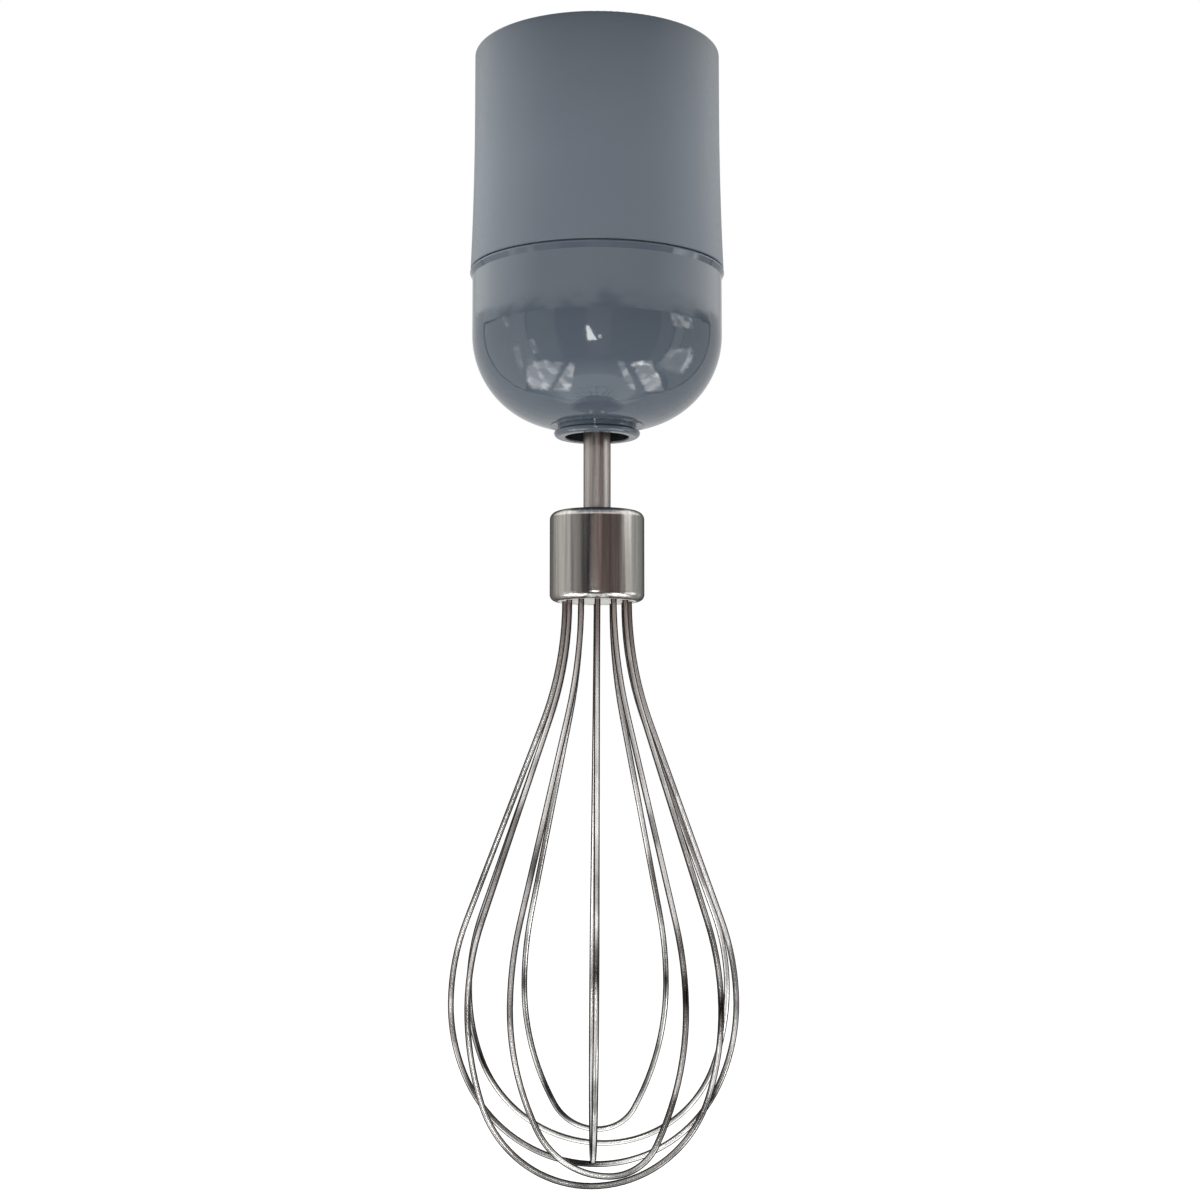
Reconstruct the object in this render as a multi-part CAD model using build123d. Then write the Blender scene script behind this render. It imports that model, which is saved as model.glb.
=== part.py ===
from build123d import *
import math
import os

# Whisk attachment of a hand-held stick blender, whisk hanging down.
# Millimetres, +Z up the shaft's axis, the viewer of the usual picture looks along +Y.
# The origin is the middle of the seat that the motor unit's nose comes down on.

# Fits and gaps
PRESS_GAP = 0.02
RUN_GAP = 0.05
SLIP_GAP = 0.10
END_PLAY = 0.25

# Upper casing with the motor socket
SOCKET_DEPTH = 26.0
RIM_WALL = 2.3
RIM_EDGE_R = 0.7
RIM_STRAIGHT = 14.0
SKIRT_WALL = 2.9
SKIRT_FLARE = 0.8
SKIRT_EDGE_R = 0.25
LEDGE_T = 3.4
LEDGE_LAND = 1.2
DOG_NOTCHES = 4
DOG_NOTCH_W = 5.0
DOG_NOTCH_DEPTH = 2.0
DOG_NOTCH_TURN = 15.0
LATCH_POCKETS = 2
LATCH_POCKET_W = 9.0
LATCH_POCKET_H = 4.0
LATCH_POCKET_DEEP = 0.9
LATCH_POCKET_BELOW_RIM = 11.0

# Casing screws and their bosses
SCREWS = 3
SCREW_FIRST_ANGLE = 90.0
SCREW_OUTSIDE_HOUSING = 1.3
SCREW_R = 1.25
SCREW_LENGTH = 9.0
SCREW_HEAD_RIM = 1.05
SCREW_HEAD_H = 1.7
SCREW_HEAD_EDGE_R = 0.55
SCREW_HEAD_SUNK = 0.2
SCREW_DRIVE_R = 1.1
SCREW_DRIVE_DEEP = 0.9
SCREW_BOSS_WALL = 1.6
SCREW_BOSS_FLOOR = 4.5
SCREW_BOSS_TO_SKIRT = 0.65
SCREW_BOSS_TO_SPIGOT = 1.0

# Lower casing
CASING_WALL = 2.3
SEAM_PROUD = 0.1
SEAM_LAND_H = 0.4
SEAM_BEVEL = 0.55
SEAM_BEVEL_H = 1.8
SEAM_EDGE_R = 0.3
SEAM_GROOVE_H = 0.3
SEAM_GROOVE_DEEP = 0.9
LOWER_STRAIGHT = 12.7
DOME_FLAT_IN_NECK = 0.75
SPIGOT_H = 7.0
SPIGOT_WALL = 1.8
SPIGOT_FOOT = 2.2
SNAPS = 4
SNAP_TURN = 45.0
SNAP_W = 8.0
SNAP_H = 1.6
SNAP_PROUD = 0.6
SNAP_BELOW_TOP = 2.0
COLLAR_W = 2.5
COLLAR_H = 1.3
COLLAR_EDGE_R = 0.95
COLLAR_TOP_EDGE_R = 0.25
COLLAR_HOLE_ROOM = 1.8
COLLAR_HOLE_EDGE_R = 0.3
NECK_STEP = 1.4
NECK_H = 1.15
NECK_RING_STEP = 0.8
NECK_RING_EDGE_R = 0.35
NECK_GROOVE_H = 0.25
BOSS_WALL = 2.0
BOSS_ABOVE_RECESS = 9.0
RECESS_DEPTH = 6.8
RIBS = 6
RIB_T = 1.6
RIB_H = 13.2

# Gearbox cover with its well
COVER_T = 2.0
WELL_GAP = 6.0
WELL_WALL = 1.6
WELL_FLOOR_T = 2.2
COVER_BOSS_WALL = 1.75
COVER_BOSS_H = 1.6
COVER_BOSS_TO_COUPLING = 0.2

# Drive coupling, input shaft and its bush
COUPLING_WALL = 3.0
COUPLING_BELOW_SEAT = 1.0
COUPLING_H = 8.0
DRIVE_SIDES = 6
DRIVE_FLATS = 8.0
DRIVE_SOCKET_DEPTH = 5.2
DRIVE_LEAD_IN = 0.6
COUPLING_FLUTES = 6
FLUTE_R = 1.3
FLUTE_OUT = 0.4
INPUT_SHAFT_R = 2.0
INPUT_SHAFT_EDGE = 0.2
INPUT_BUSH_WALL = 1.8

# Gear train
MODULE = 0.7
PRESSURE_ANGLE = 20.0
SUN_TEETH = 12
PLANET_TEETH = 18
PLANETS = 3
ADDENDUM = 0.8
DEDENDUM = 1.05
TOOTH_THINNING = 0.10
SUN_WIDTH = 8.6
PLANET_WIDTH = 8.2
RING_WIDTH = 9.4
RING_WALL = 0.865
RING_KEYS = 6
RING_KEY_W = 4.0
RING_KEY_H = 1.0
RING_TO_COVER = 0.6

# Planet carrier and pins
PIN_R = 1.5
PIN_HEAD_RIM = 1.0
PIN_HEAD_H = 0.7
CARRIER_T = 3.2
CARRIER_RIM = 4.3
CARRIER_HUB_WALL = 3.0
CARRIER_HUB_H = 5.0

# Gear housing
HOUSING_WALL = 1.9
HOUSING_FLOOR_T = 2.0
BEARING_TUBE_WALL = 2.2
GUSSETS = 6
GUSSET_T = 1.4
GUSSET_H = 6.0

# Output bearings, seal and clip
OUT_BUSH_WALL = 3.0
UPPER_BUSH_H = 8.0
LOWER_BUSH_H = 7.5
BUSH_FLANGE_RIM = 1.0
BUSH_FLANGE_T = 1.0
THRUST_WASHER_RIM = 1.2
THRUST_WASHER_T = 0.6
CLIP_W = 2.2
CLIP_T = 0.8
CLIP_GROOVE = 0.5
CLIP_MOUTH = 3.6
SEAL_H = 3.0
SEAL_WALL = 1.3
SEAL_WEB_T = 1.0
SEAL_LIP_WALL = 0.9
SEAL_LIP_H = 2.1

# Whisk shaft, ferrule and plug
SHAFT_R = 3.0
SHAFT_EDGE = 0.4
SHAFT_SHOWING = 16.6
SHAFT_IN_PLUG = 12.4
SHAFT_FLAT = 0.6
FERRULE_R = 10.4
FERRULE_H = 19.7
FERRULE_WALL = 0.9
FERRULE_TOP_T = 1.2
FERRULE_TOP_EDGE_R = 1.7
FERRULE_LIP_IN = 1.8
FERRULE_LIP_EDGE_R = 1.5
FERRULE_LIP_H = 1.3
PLUG_EDGE = 0.8
HOLE_MOUTH_RIM = 0.3
HOLE_MOUTH_DEEP = 0.4

# Whisk wires
WIRE_R = 0.65
WIRES_IN_LIP = 1.6
WIRE_STEP = 30.0
WIRE_EMBED = 10.0
WHISK_TURN = 1.0
STRAIGHT_RUN = 45.0
SHOULDER_SHARE = 0.4
BELLY_DEPTH = 86.8
INNER_LEAN = 9.2
OUTER_LEAN = 11.0

# Half widths left and right of each loop, its depth below the widest point, how far right of the
# axis its lowest point lies, and the angle by which its lower side arcs turn in
MIDDLE_LEFT = 31.4
MIDDLE_RIGHT = 30.0
MIDDLE_DEPTH = 33.8
MIDDLE_LOW = 0.0
MIDDLE_TURN_IN = 25.6
FRONT_LEFT = 27.0
FRONT_RIGHT = 25.4
FRONT_DEPTH = 35.4
FRONT_LOW = -1.5
FRONT_TURN_IN = 18.5
REAR_LEFT = 28.3
REAR_RIGHT = 29.4
REAR_DEPTH = 35.0
REAR_LOW = 2.0
REAR_TURN_IN = 19.5
FRONT_OUTER_LEFT = 18.1
FRONT_OUTER_RIGHT = 17.8
FRONT_OUTER_DEPTH = 33.0
FRONT_OUTER_LOW = 2.0
FRONT_OUTER_TURN_IN = 26.3
REAR_OUTER_LEFT = 16.1
REAR_OUTER_RIGHT = 16.0
REAR_OUTER_DEPTH = 33.6
REAR_OUTER_LOW = 0.7
REAR_OUTER_TURN_IN = 27.8
CROSS_HALF_WIDTH = 30.0
CROSS_LOW = 0.0
CROSS_TURN_IN = 25.0
CROSS_LEAN = 0.45
CROSS_REST_GAP = 0.05

# Gear train sizes that follow
SUN_PITCH_R = MODULE * SUN_TEETH / 2
PLANET_PITCH_R = MODULE * PLANET_TEETH / 2
RING_TEETH = SUN_TEETH + 2 * PLANET_TEETH
RING_PITCH_R = MODULE * RING_TEETH / 2
RING_ROOT_R = RING_PITCH_R + MODULE * DEDENDUM
RING_R = RING_ROOT_R + RING_WALL
CENTRES_R = SUN_PITCH_R + PLANET_PITCH_R
CARRIER_R = CENTRES_R + CARRIER_RIM
HOUSING_BORE_R = RING_R + SLIP_GAP
HOUSING_R = HOUSING_BORE_R + HOUSING_WALL

# Casing radii, from the gear housing outwards
SCREW_CIRCLE_R = HOUSING_R + SCREW_OUTSIDE_HOUSING
SCREW_BOSS_R = SCREW_R + SCREW_BOSS_WALL
SCREW_HEAD_R = SCREW_R + SCREW_HEAD_RIM
SKIRT_INNER_R = SCREW_CIRCLE_R + SCREW_BOSS_R + SCREW_BOSS_TO_SKIRT
SPIGOT_R = SKIRT_INNER_R - SLIP_GAP
COVER_R = SKIRT_INNER_R - SLIP_GAP
SKIRT_R = SKIRT_INNER_R + SKIRT_WALL
RIM_R = SKIRT_R - SKIRT_FLARE
SOCKET_BORE_R = RIM_R - RIM_WALL
LEDGE_BORE_R = SCREW_CIRCLE_R - SCREW_HEAD_R - LEDGE_LAND
SEAM_R = SKIRT_R + SEAM_PROUD
LOWER_R = SEAM_R - SEAM_BEVEL

# Shaft-side radii, from the shaft outwards
CARRIER_HUB_R = SHAFT_R + CARRIER_HUB_WALL
THRUST_WASHER_R = CARRIER_HUB_R + THRUST_WASHER_RIM
BUSH_FLANGE_R = THRUST_WASHER_R + BUSH_FLANGE_RIM
OUT_BUSH_R = SHAFT_R + RUN_GAP + OUT_BUSH_WALL
TUBE_R = OUT_BUSH_R + PRESS_GAP + BEARING_TUBE_WALL
BOSS_BORE_R = TUBE_R + SLIP_GAP
BOSS_R = BOSS_BORE_R + BOSS_WALL
CLIP_R = SHAFT_R + CLIP_W
COLLAR_HOLE_R = CLIP_R + COLLAR_HOLE_ROOM
COLLAR_R = COLLAR_HOLE_R + COLLAR_W
NECK_R = COLLAR_R - NECK_STEP
NECK_RING_R = COLLAR_R - NECK_RING_STEP
DOME_FLAT_R = NECK_R - DOME_FLAT_IN_NECK
CORNER_R = LOWER_R - DOME_FLAT_R
COUPLING_R = DRIVE_FLATS / 2 + COUPLING_WALL
WELL_R = COUPLING_R + WELL_GAP
INPUT_BUSH_R = INPUT_SHAFT_R + RUN_GAP + INPUT_BUSH_WALL
COVER_BOSS_R = INPUT_BUSH_R + COVER_BOSS_WALL
PIN_HEAD_R = PIN_R + PIN_HEAD_RIM
FERRULE_LIP_R = FERRULE_R - FERRULE_LIP_IN
PLUG_R = FERRULE_R - FERRULE_WALL - PRESS_GAP
WIRE_CIRCLE_R = FERRULE_LIP_R - WIRES_IN_LIP

# Heights from the seat down through the gearbox
RIM_Z = SOCKET_DEPTH
COUPLING_TOP_Z = -COUPLING_BELOW_SEAT
COUPLING_Z = COUPLING_TOP_Z - COUPLING_H
COVER_TOP_Z = -LEDGE_T
COVER_Z = COVER_TOP_Z - COVER_T
COVER_BOSS_TOP_Z = COUPLING_Z - COVER_BOSS_TO_COUPLING
WELL_FLOOR_Z = COVER_BOSS_TOP_Z - COVER_BOSS_H
WELL_BOTTOM_Z = WELL_FLOOR_Z - WELL_FLOOR_T
SCREW_HEAD_TOP_Z = -SCREW_HEAD_SUNK
SCREW_HEAD_Z = SCREW_HEAD_TOP_Z - SCREW_HEAD_H
SCREW_TIP_Z = SCREW_HEAD_Z - SCREW_LENGTH
SCREW_BOSS_Z = SCREW_TIP_Z - SCREW_BOSS_FLOOR
RING_TOP_Z = WELL_BOTTOM_Z - RING_TO_COVER
RING_Z = RING_TOP_Z - RING_WIDTH
PIN_HEAD_Z = RING_TOP_Z + END_PLAY
PLANET_TOP_Z = PIN_HEAD_Z - PIN_HEAD_H - END_PLAY
PLANET_Z = PLANET_TOP_Z - PLANET_WIDTH
CARRIER_TOP_Z = PLANET_Z - END_PLAY
CARRIER_Z = CARRIER_TOP_Z - CARRIER_T
HUB_Z = CARRIER_Z - CARRIER_HUB_H
SUN_Z = CARRIER_TOP_Z + END_PLAY
SUN_TOP_Z = SUN_Z + SUN_WIDTH
WASHER_TOP_Z = HUB_Z - END_PLAY
FLANGE_TOP_Z = WASHER_TOP_Z - THRUST_WASHER_T
FLOOR_TOP_Z = FLANGE_TOP_Z - BUSH_FLANGE_T
FLOOR_Z = FLOOR_TOP_Z - HOUSING_FLOOR_T

# Heights down the casing and the whisk
SPIGOT_TOP_Z = SCREW_BOSS_Z - SCREW_BOSS_TO_SPIGOT
SKIRT_Z = SPIGOT_TOP_Z - SPIGOT_H
SNAP_Z = SPIGOT_TOP_Z - SNAP_BELOW_TOP - SNAP_H
BEVEL_Z = SKIRT_Z - SEAM_BEVEL_H
CORNER_Z = BEVEL_Z - LOWER_STRAIGHT
NECK_DROP = math.sqrt(CORNER_R**2 - DOME_FLAT_IN_NECK**2)
DOME_Z = CORNER_Z - NECK_DROP
COLLAR_TOP_Z = DOME_Z - NECK_H
COLLAR_Z = COLLAR_TOP_Z - COLLAR_H
RECESS_Z = COLLAR_Z + RECESS_DEPTH
RIB_TOP_Z = DOME_Z + RIB_H
CLIP_TOP_Z = RECESS_Z - END_PLAY
CLIP_Z = CLIP_TOP_Z - CLIP_T
SEAL_TOP_Z = CLIP_Z - END_PLAY
SEAL_Z = SEAL_TOP_Z - SEAL_H
FERRULE_TOP_Z = COLLAR_Z - SHAFT_SHOWING
FACE_Z = FERRULE_TOP_Z - FERRULE_H
PLUG_TOP_Z = FERRULE_TOP_Z - FERRULE_TOP_T
SHAFT_TOP_Z = CARRIER_TOP_Z - END_PLAY
SHAFT_END_Z = PLUG_TOP_Z - SHAFT_IN_PLUG

# Each side-by-side loop: hole's step from the front of the circle, side it faces (1 front,
# -1 rear), lean of its plane, half widths, depth below the belly, low point and turn-in
LOOPS = {
    "wire_loop_middle": (3, 1, 0.0, MIDDLE_LEFT, MIDDLE_RIGHT, MIDDLE_DEPTH, MIDDLE_LOW, MIDDLE_TURN_IN),
    "wire_loop_front": (2, 1, INNER_LEAN, FRONT_LEFT, FRONT_RIGHT, FRONT_DEPTH, FRONT_LOW, FRONT_TURN_IN),
    "wire_loop_rear": (2, -1, INNER_LEAN, REAR_LEFT, REAR_RIGHT, REAR_DEPTH, REAR_LOW, REAR_TURN_IN),
    "wire_loop_front_outer": (
        1, 1, OUTER_LEAN, FRONT_OUTER_LEFT, FRONT_OUTER_RIGHT,
        FRONT_OUTER_DEPTH, FRONT_OUTER_LOW, FRONT_OUTER_TURN_IN,
    ),
    "wire_loop_rear_outer": (
        1, -1, OUTER_LEAN, REAR_OUTER_LEFT, REAR_OUTER_RIGHT,
        REAR_OUTER_DEPTH, REAR_OUTER_LOW, REAR_OUTER_TURN_IN,
    ),
}


def turned(points):
    """Solid turned about Z from the closed outline (radius, height)."""
    outline = Polyline(*[(r, 0, z) for r, z in points], close=True)
    return revolve(make_face(outline), Axis.Z, 360)


def disc(radius, low, high):
    """Plain round bar on the Z axis between two heights."""
    bar = Cylinder(radius, high - low, align=(Align.CENTER, Align.CENTER, Align.MIN))
    return Pos(0, 0, low) * bar


def tube(outer, inner, low, high):
    """Plain round tube on the Z axis between two heights."""
    return disc(outer, low, high) - disc(inner, low, high)


def around(shape, count, first=0.0):
    """Copies of a shape spaced evenly round the Z axis."""
    return [Rot(0, 0, first + 360 / count * i) * shape for i in range(count)]


def block(length, width, low, high, centre_r):
    """Upright block, length along the radius, standing at centre_r on the X axis."""
    box = Box(length, width, high - low, align=(Align.CENTER, Align.CENTER, Align.MIN))
    return Pos(centre_r, 0, low) * box


def circle_edges(shape, radius, height):
    """Round edges of a shape with this radius about Z at this height."""
    found = []
    for edge in shape.edges().filter_by(GeomType.CIRCLE):
        centre = edge.arc_center
        if abs(edge.radius - radius) < 1e-3 and abs(centre.Z - height) < 1e-3 and abs(centre.X) < 1e-3:
            found.append(edge)
    return found


def screw_places():
    """Locations of the casing screws on their circle."""
    return [
        Rot(0, 0, SCREW_FIRST_ANGLE + 360 / SCREWS * i) * Pos(SCREW_CIRCLE_R, 0, 0) for i in range(SCREWS)
    ]


def upper_casing():
    """Tall cup: motor socket above the ledge, skirt over the gearbox below it."""
    flare_top = RIM_Z - RIM_STRAIGHT
    # the arc leaves the straight part without a corner, so half way down it has a quarter of the flare
    flare = ThreePointArc(
        (RIM_R, 0, flare_top),
        (RIM_R + SKIRT_FLARE / 4, 0, (flare_top + SKIRT_Z) / 2),
        (SKIRT_R, 0, SKIRT_Z),
    )
    rest = Polyline(
        (SKIRT_R, 0, SKIRT_Z),
        (SKIRT_INNER_R, 0, SKIRT_Z),
        (SKIRT_INNER_R, 0, -LEDGE_T),
        (LEDGE_BORE_R, 0, -LEDGE_T),
        (LEDGE_BORE_R, 0, 0),
        (SOCKET_BORE_R, 0, 0),
        (SOCKET_BORE_R, 0, RIM_Z),
        (RIM_R, 0, RIM_Z),
        (RIM_R, 0, flare_top),
    )
    shell = revolve(make_face(flare + rest), Axis.Z, 360)
    rim = circle_edges(shell, RIM_R, RIM_Z) + circle_edges(shell, SOCKET_BORE_R, RIM_Z)
    shell = fillet(rim, RIM_EDGE_R)
    shell = fillet(circle_edges(shell, SKIRT_R, SKIRT_Z), SKIRT_EDGE_R)
    notch = block(2 * DOG_NOTCH_DEPTH, DOG_NOTCH_W, -LEDGE_T, 0, LEDGE_BORE_R)
    shell -= around(notch, DOG_NOTCHES, DOG_NOTCH_TURN)
    middle = RIM_Z - LATCH_POCKET_BELOW_RIM
    low, high = middle - LATCH_POCKET_H / 2, middle + LATCH_POCKET_H / 2
    pocket_ring = disc(SOCKET_BORE_R + LATCH_POCKET_DEEP, low, high)
    pocket = block(2 * RIM_WALL, LATCH_POCKET_W, low, high, SOCKET_BORE_R)
    shell -= [pocket_ring & side for side in around(pocket, LATCH_POCKETS)]
    low, high = SNAP_Z - SLIP_GAP, SNAP_Z + SNAP_H + SLIP_GAP
    window_ring = disc(SKIRT_INNER_R + SNAP_PROUD + SLIP_GAP, low, high)
    window = block(2 * SKIRT_WALL, SNAP_W + 2 * SLIP_GAP, low, high, SKIRT_INNER_R)
    shell -= [window_ring & side for side in around(window, SNAPS, SNAP_TURN)]
    for place in screw_places():
        shell -= place * disc(SCREW_R + SLIP_GAP, -LEDGE_T, 0)
        shell -= place * disc(SCREW_HEAD_R + SLIP_GAP, SCREW_HEAD_Z, 0)
    return shell


def dome_solid(inset, top):
    """Solid under the dome's face moved in by inset: straight side, round corner, flat end."""
    last = math.acos(DOME_FLAT_IN_NECK / CORNER_R)
    radius = CORNER_R - inset
    arc = [
        (DOME_FLAT_R + radius * math.cos(turn), 0, CORNER_Z - radius * math.sin(turn))
        for turn in (0, last / 2, last)
    ]
    low = arc[2][2]
    rest = Polyline(arc[2], (0, 0, low), (0, 0, top), (arc[0][0], 0, top), arc[0])
    return revolve(make_face(ThreePointArc(*arc) + rest), Axis.Z, 360)


def lower_casing():
    """Dome under the seam: bead, spigot with snap lugs, collar, inner boss and ribs."""
    shell = dome_solid(0, SKIRT_Z)
    seam_z = SKIRT_Z - SEAM_GROOVE_H
    land_z = seam_z - SEAM_LAND_H
    seam = turned([(0, seam_z), (SEAM_R, seam_z), (SEAM_R, land_z), (LOWER_R, BEVEL_Z), (0, BEVEL_Z)])
    seam = fillet(circle_edges(seam, SEAM_R, seam_z), SEAM_EDGE_R)
    neck = disc(NECK_R, COLLAR_Z, DOME_Z)
    ring_z = COLLAR_TOP_Z + NECK_GROOVE_H
    neck_ring = disc(NECK_RING_R, ring_z, DOME_Z + CASING_WALL / 2)
    neck_ring = fillet(circle_edges(neck_ring, NECK_RING_R, ring_z), NECK_RING_EDGE_R)
    collar = disc(COLLAR_R, COLLAR_Z, COLLAR_TOP_Z)
    collar = fillet(circle_edges(collar, COLLAR_R, COLLAR_Z), COLLAR_EDGE_R)
    collar = fillet(circle_edges(collar, COLLAR_R, COLLAR_TOP_Z), COLLAR_TOP_EDGE_R)
    spigot = disc(SPIGOT_R, SKIRT_Z - SPIGOT_FOOT, SPIGOT_TOP_Z)
    shell = shell + seam + neck + neck_ring + collar + spigot
    shell -= tube(SEAM_R, SEAM_R - SEAM_GROOVE_DEEP, seam_z, SKIRT_Z)
    shell -= dome_solid(CASING_WALL, SKIRT_Z - SPIGOT_FOOT)
    shell -= disc(SPIGOT_R - SPIGOT_WALL, SKIRT_Z - 2 * SPIGOT_FOOT, SPIGOT_TOP_Z)
    rib = block(2 * LOWER_R, RIB_T, COLLAR_Z, RIB_TOP_Z, 0)
    inside = dome_solid(CASING_WALL / 2, SKIRT_Z)
    ribs = [inside & (Rot(0, 0, 360 / RIBS * i) * rib) for i in range(RIBS // 2)]
    boss = disc(BOSS_R, DOME_Z, RECESS_Z + BOSS_ABOVE_RECESS)
    shell = shell + ribs + boss
    shell -= disc(BOSS_BORE_R, RECESS_Z, SKIRT_Z)
    shell -= disc(COLLAR_HOLE_R, COLLAR_Z, RECESS_Z)
    shell = fillet(circle_edges(shell, COLLAR_HOLE_R, COLLAR_Z), COLLAR_HOLE_EDGE_R)
    lug = block(4 * SNAP_PROUD, SNAP_W, SNAP_Z, SNAP_Z + SNAP_H, SPIGOT_R)
    lug_ring = tube(SPIGOT_R + SNAP_PROUD, SPIGOT_R - SNAP_PROUD, SNAP_Z, SNAP_Z + SNAP_H)
    return shell + [lug_ring & side for side in around(lug, SNAPS, SNAP_TURN)]


def gearbox_cover():
    """Dished plate: flange under the ledge, well for the coupling, boss for the input bush."""
    dish = turned(
        [
            (WELL_R, COVER_TOP_Z),
            (COVER_R, COVER_TOP_Z),
            (COVER_R, COVER_Z),
            (WELL_R + WELL_WALL, COVER_Z),
            (WELL_R + WELL_WALL, WELL_BOTTOM_Z),
            (0, WELL_BOTTOM_Z),
            (0, WELL_FLOOR_Z),
            (WELL_R, WELL_FLOOR_Z),
        ]
    )
    dish += disc(COVER_BOSS_R, WELL_FLOOR_Z, COVER_BOSS_TOP_Z)
    dish -= disc(INPUT_BUSH_R + PRESS_GAP, WELL_BOTTOM_Z, COVER_TOP_Z)
    for place in screw_places():
        dish -= place * disc(SCREW_R + SLIP_GAP, COVER_Z, COVER_TOP_Z)
    return dish


def casing_screws():
    """Screws that clamp ledge, cover and gear housing, sunk in the ledge."""
    screw = disc(SCREW_R, SCREW_TIP_Z, SCREW_HEAD_Z)
    head = disc(SCREW_HEAD_R, SCREW_HEAD_Z, SCREW_HEAD_TOP_Z)
    screw += fillet(circle_edges(head, SCREW_HEAD_R, SCREW_HEAD_TOP_Z), SCREW_HEAD_EDGE_R)
    drive = Pos(0, 0, SCREW_HEAD_TOP_Z - SCREW_DRIVE_DEEP) * RegularPolygon(SCREW_DRIVE_R, DRIVE_SIDES)
    screw -= extrude(drive, SCREW_DRIVE_DEEP)
    return [place * screw for place in screw_places()]


def drive_coupling():
    """Fluted dog with a six-sided socket that the motor's drive pin enters."""
    top = COUPLING_TOP_Z
    body = disc(COUPLING_R, COUPLING_Z, top)
    flute = Pos(COUPLING_R + FLUTE_OUT, 0, 0) * disc(FLUTE_R, COUPLING_Z, top)
    body -= around(flute, COUPLING_FLUTES, 180 / COUPLING_FLUTES)
    outline = RegularPolygon(DRIVE_FLATS / 2, DRIVE_SIDES, major_radius=False)
    body -= extrude(Pos(0, 0, top - DRIVE_SOCKET_DEPTH) * outline, DRIVE_SOCKET_DEPTH)
    mouth_r = DRIVE_FLATS / 2 / math.cos(math.pi / DRIVE_SIDES) + DRIVE_LEAD_IN / 2
    lead_z = top - DRIVE_LEAD_IN
    body -= turned([(0, top), (mouth_r, top), (mouth_r - DRIVE_LEAD_IN, lead_z), (0, lead_z)])
    return body - disc(INPUT_SHAFT_R + PRESS_GAP, COUPLING_Z, top)


def input_shaft():
    """Steel pin from the coupling down through the bush and the sun pinion."""
    top = COUPLING_TOP_Z - DRIVE_SOCKET_DEPTH - PRESS_GAP
    return chamfer(disc(INPUT_SHAFT_R, SUN_Z, top).edges().filter_by(GeomType.CIRCLE), INPUT_SHAFT_EDGE)


def input_bush():
    """Sintered bush in the cover's boss."""
    return tube(INPUT_BUSH_R, INPUT_SHAFT_R + RUN_GAP, WELL_BOTTOM_Z, COVER_BOSS_TOP_Z)


def involute(angle):
    """Involute function of a pressure angle in radians."""
    return math.tan(angle) - angle


def flank_angle(radius, pitch_r, half_pitch_angle):
    """Half angle of a tooth at a radius, constant below the base circle."""
    alpha = math.radians(PRESSURE_ANGLE)
    base_r = pitch_r * math.cos(alpha)
    here = math.acos(min(1.0, base_r / max(radius, base_r)))
    return half_pitch_angle + involute(alpha) - involute(here)


def toothed_face(teeth, root_r, tip_r, half_thickness, first=0.0):
    """Flat gear outline: radial root line, arc through the involute, tip arc, root arc."""
    pitch_r = MODULE * teeth / 2
    base_r = pitch_r * math.cos(math.radians(PRESSURE_ANGLE))
    half = half_thickness / pitch_r
    start_r = max(root_r, base_r)
    radii = [start_r, (start_r + tip_r) / 2, tip_r]
    angles = [flank_angle(r, pitch_r, half) for r in radii]

    def at(radius, angle):
        return (radius * math.cos(angle), radius * math.sin(angle))

    edges = []
    for tooth in range(teeth):
        mid = math.radians(first) + 2 * math.pi * tooth / teeth
        after = mid + 2 * math.pi / teeth
        rising = [at(r, mid - a) for r, a in zip(radii, angles)]
        falling = [at(r, mid + a) for r, a in zip(radii, angles)][::-1]
        if start_r > root_r:
            edges.append(Line(at(root_r, mid - angles[0]), rising[0]))
        edges.append(ThreePointArc(*rising))
        edges.append(ThreePointArc(rising[2], at(tip_r, mid), falling[0]))
        edges.append(ThreePointArc(*falling))
        if start_r > root_r:
            edges.append(Line(falling[2], at(root_r, mid + angles[0])))
        valley = [at(root_r, a) for a in (mid + angles[0], (mid + after) / 2, after - angles[0])]
        edges.append(ThreePointArc(*valley))
    return make_face(edges)


def outer_gear(teeth, width, first=0.0):
    """Spur gear with its bottom face at height zero."""
    pitch_r = MODULE * teeth / 2
    half_thickness = math.pi * MODULE / 4 - TOOTH_THINNING / 2
    root_r, tip_r = pitch_r - MODULE * DEDENDUM, pitch_r + MODULE * ADDENDUM
    return extrude(toothed_face(teeth, root_r, tip_r, half_thickness, first), width)


def sun_pinion():
    """Steel pinion on the input shaft, one tooth pointing along +X."""
    gear = Pos(0, 0, SUN_Z) * outer_gear(SUN_TEETH, SUN_WIDTH)
    return gear - disc(INPUT_SHAFT_R + PRESS_GAP, SUN_Z, SUN_TOP_Z)


def planet_gear(index):
    """Planet pinion, a gap between its teeth facing the sun."""
    gear = Pos(0, 0, PLANET_Z) * outer_gear(PLANET_TEETH, PLANET_WIDTH, 180 / PLANET_TEETH)
    gear -= disc(PIN_R + RUN_GAP, PLANET_Z, PLANET_TOP_Z)
    return Rot(0, 0, 360 / PLANETS * index) * Pos(CENTRES_R, 0, 0) * gear


def ring_gear():
    """Internal gear with keys that stop it turning in its housing."""
    half_gap = math.pi * MODULE / 4 + TOOTH_THINNING / 2
    inner = RING_PITCH_R - MODULE * ADDENDUM
    teeth = toothed_face(RING_TEETH, inner, RING_ROOT_R, half_gap, 180 / RING_TEETH)
    ring = extrude(Circle(RING_R) - teeth, RING_WIDTH)
    ring = Pos(0, 0, RING_Z) * ring
    key = block(2 * RING_KEY_H, RING_KEY_W, RING_Z, RING_TOP_Z, RING_R)
    key_ring = tube(RING_R + RING_KEY_H, RING_R - RING_WALL / 2, RING_Z, RING_TOP_Z)
    return ring + [key_ring & side for side in around(key, RING_KEYS)]


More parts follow.
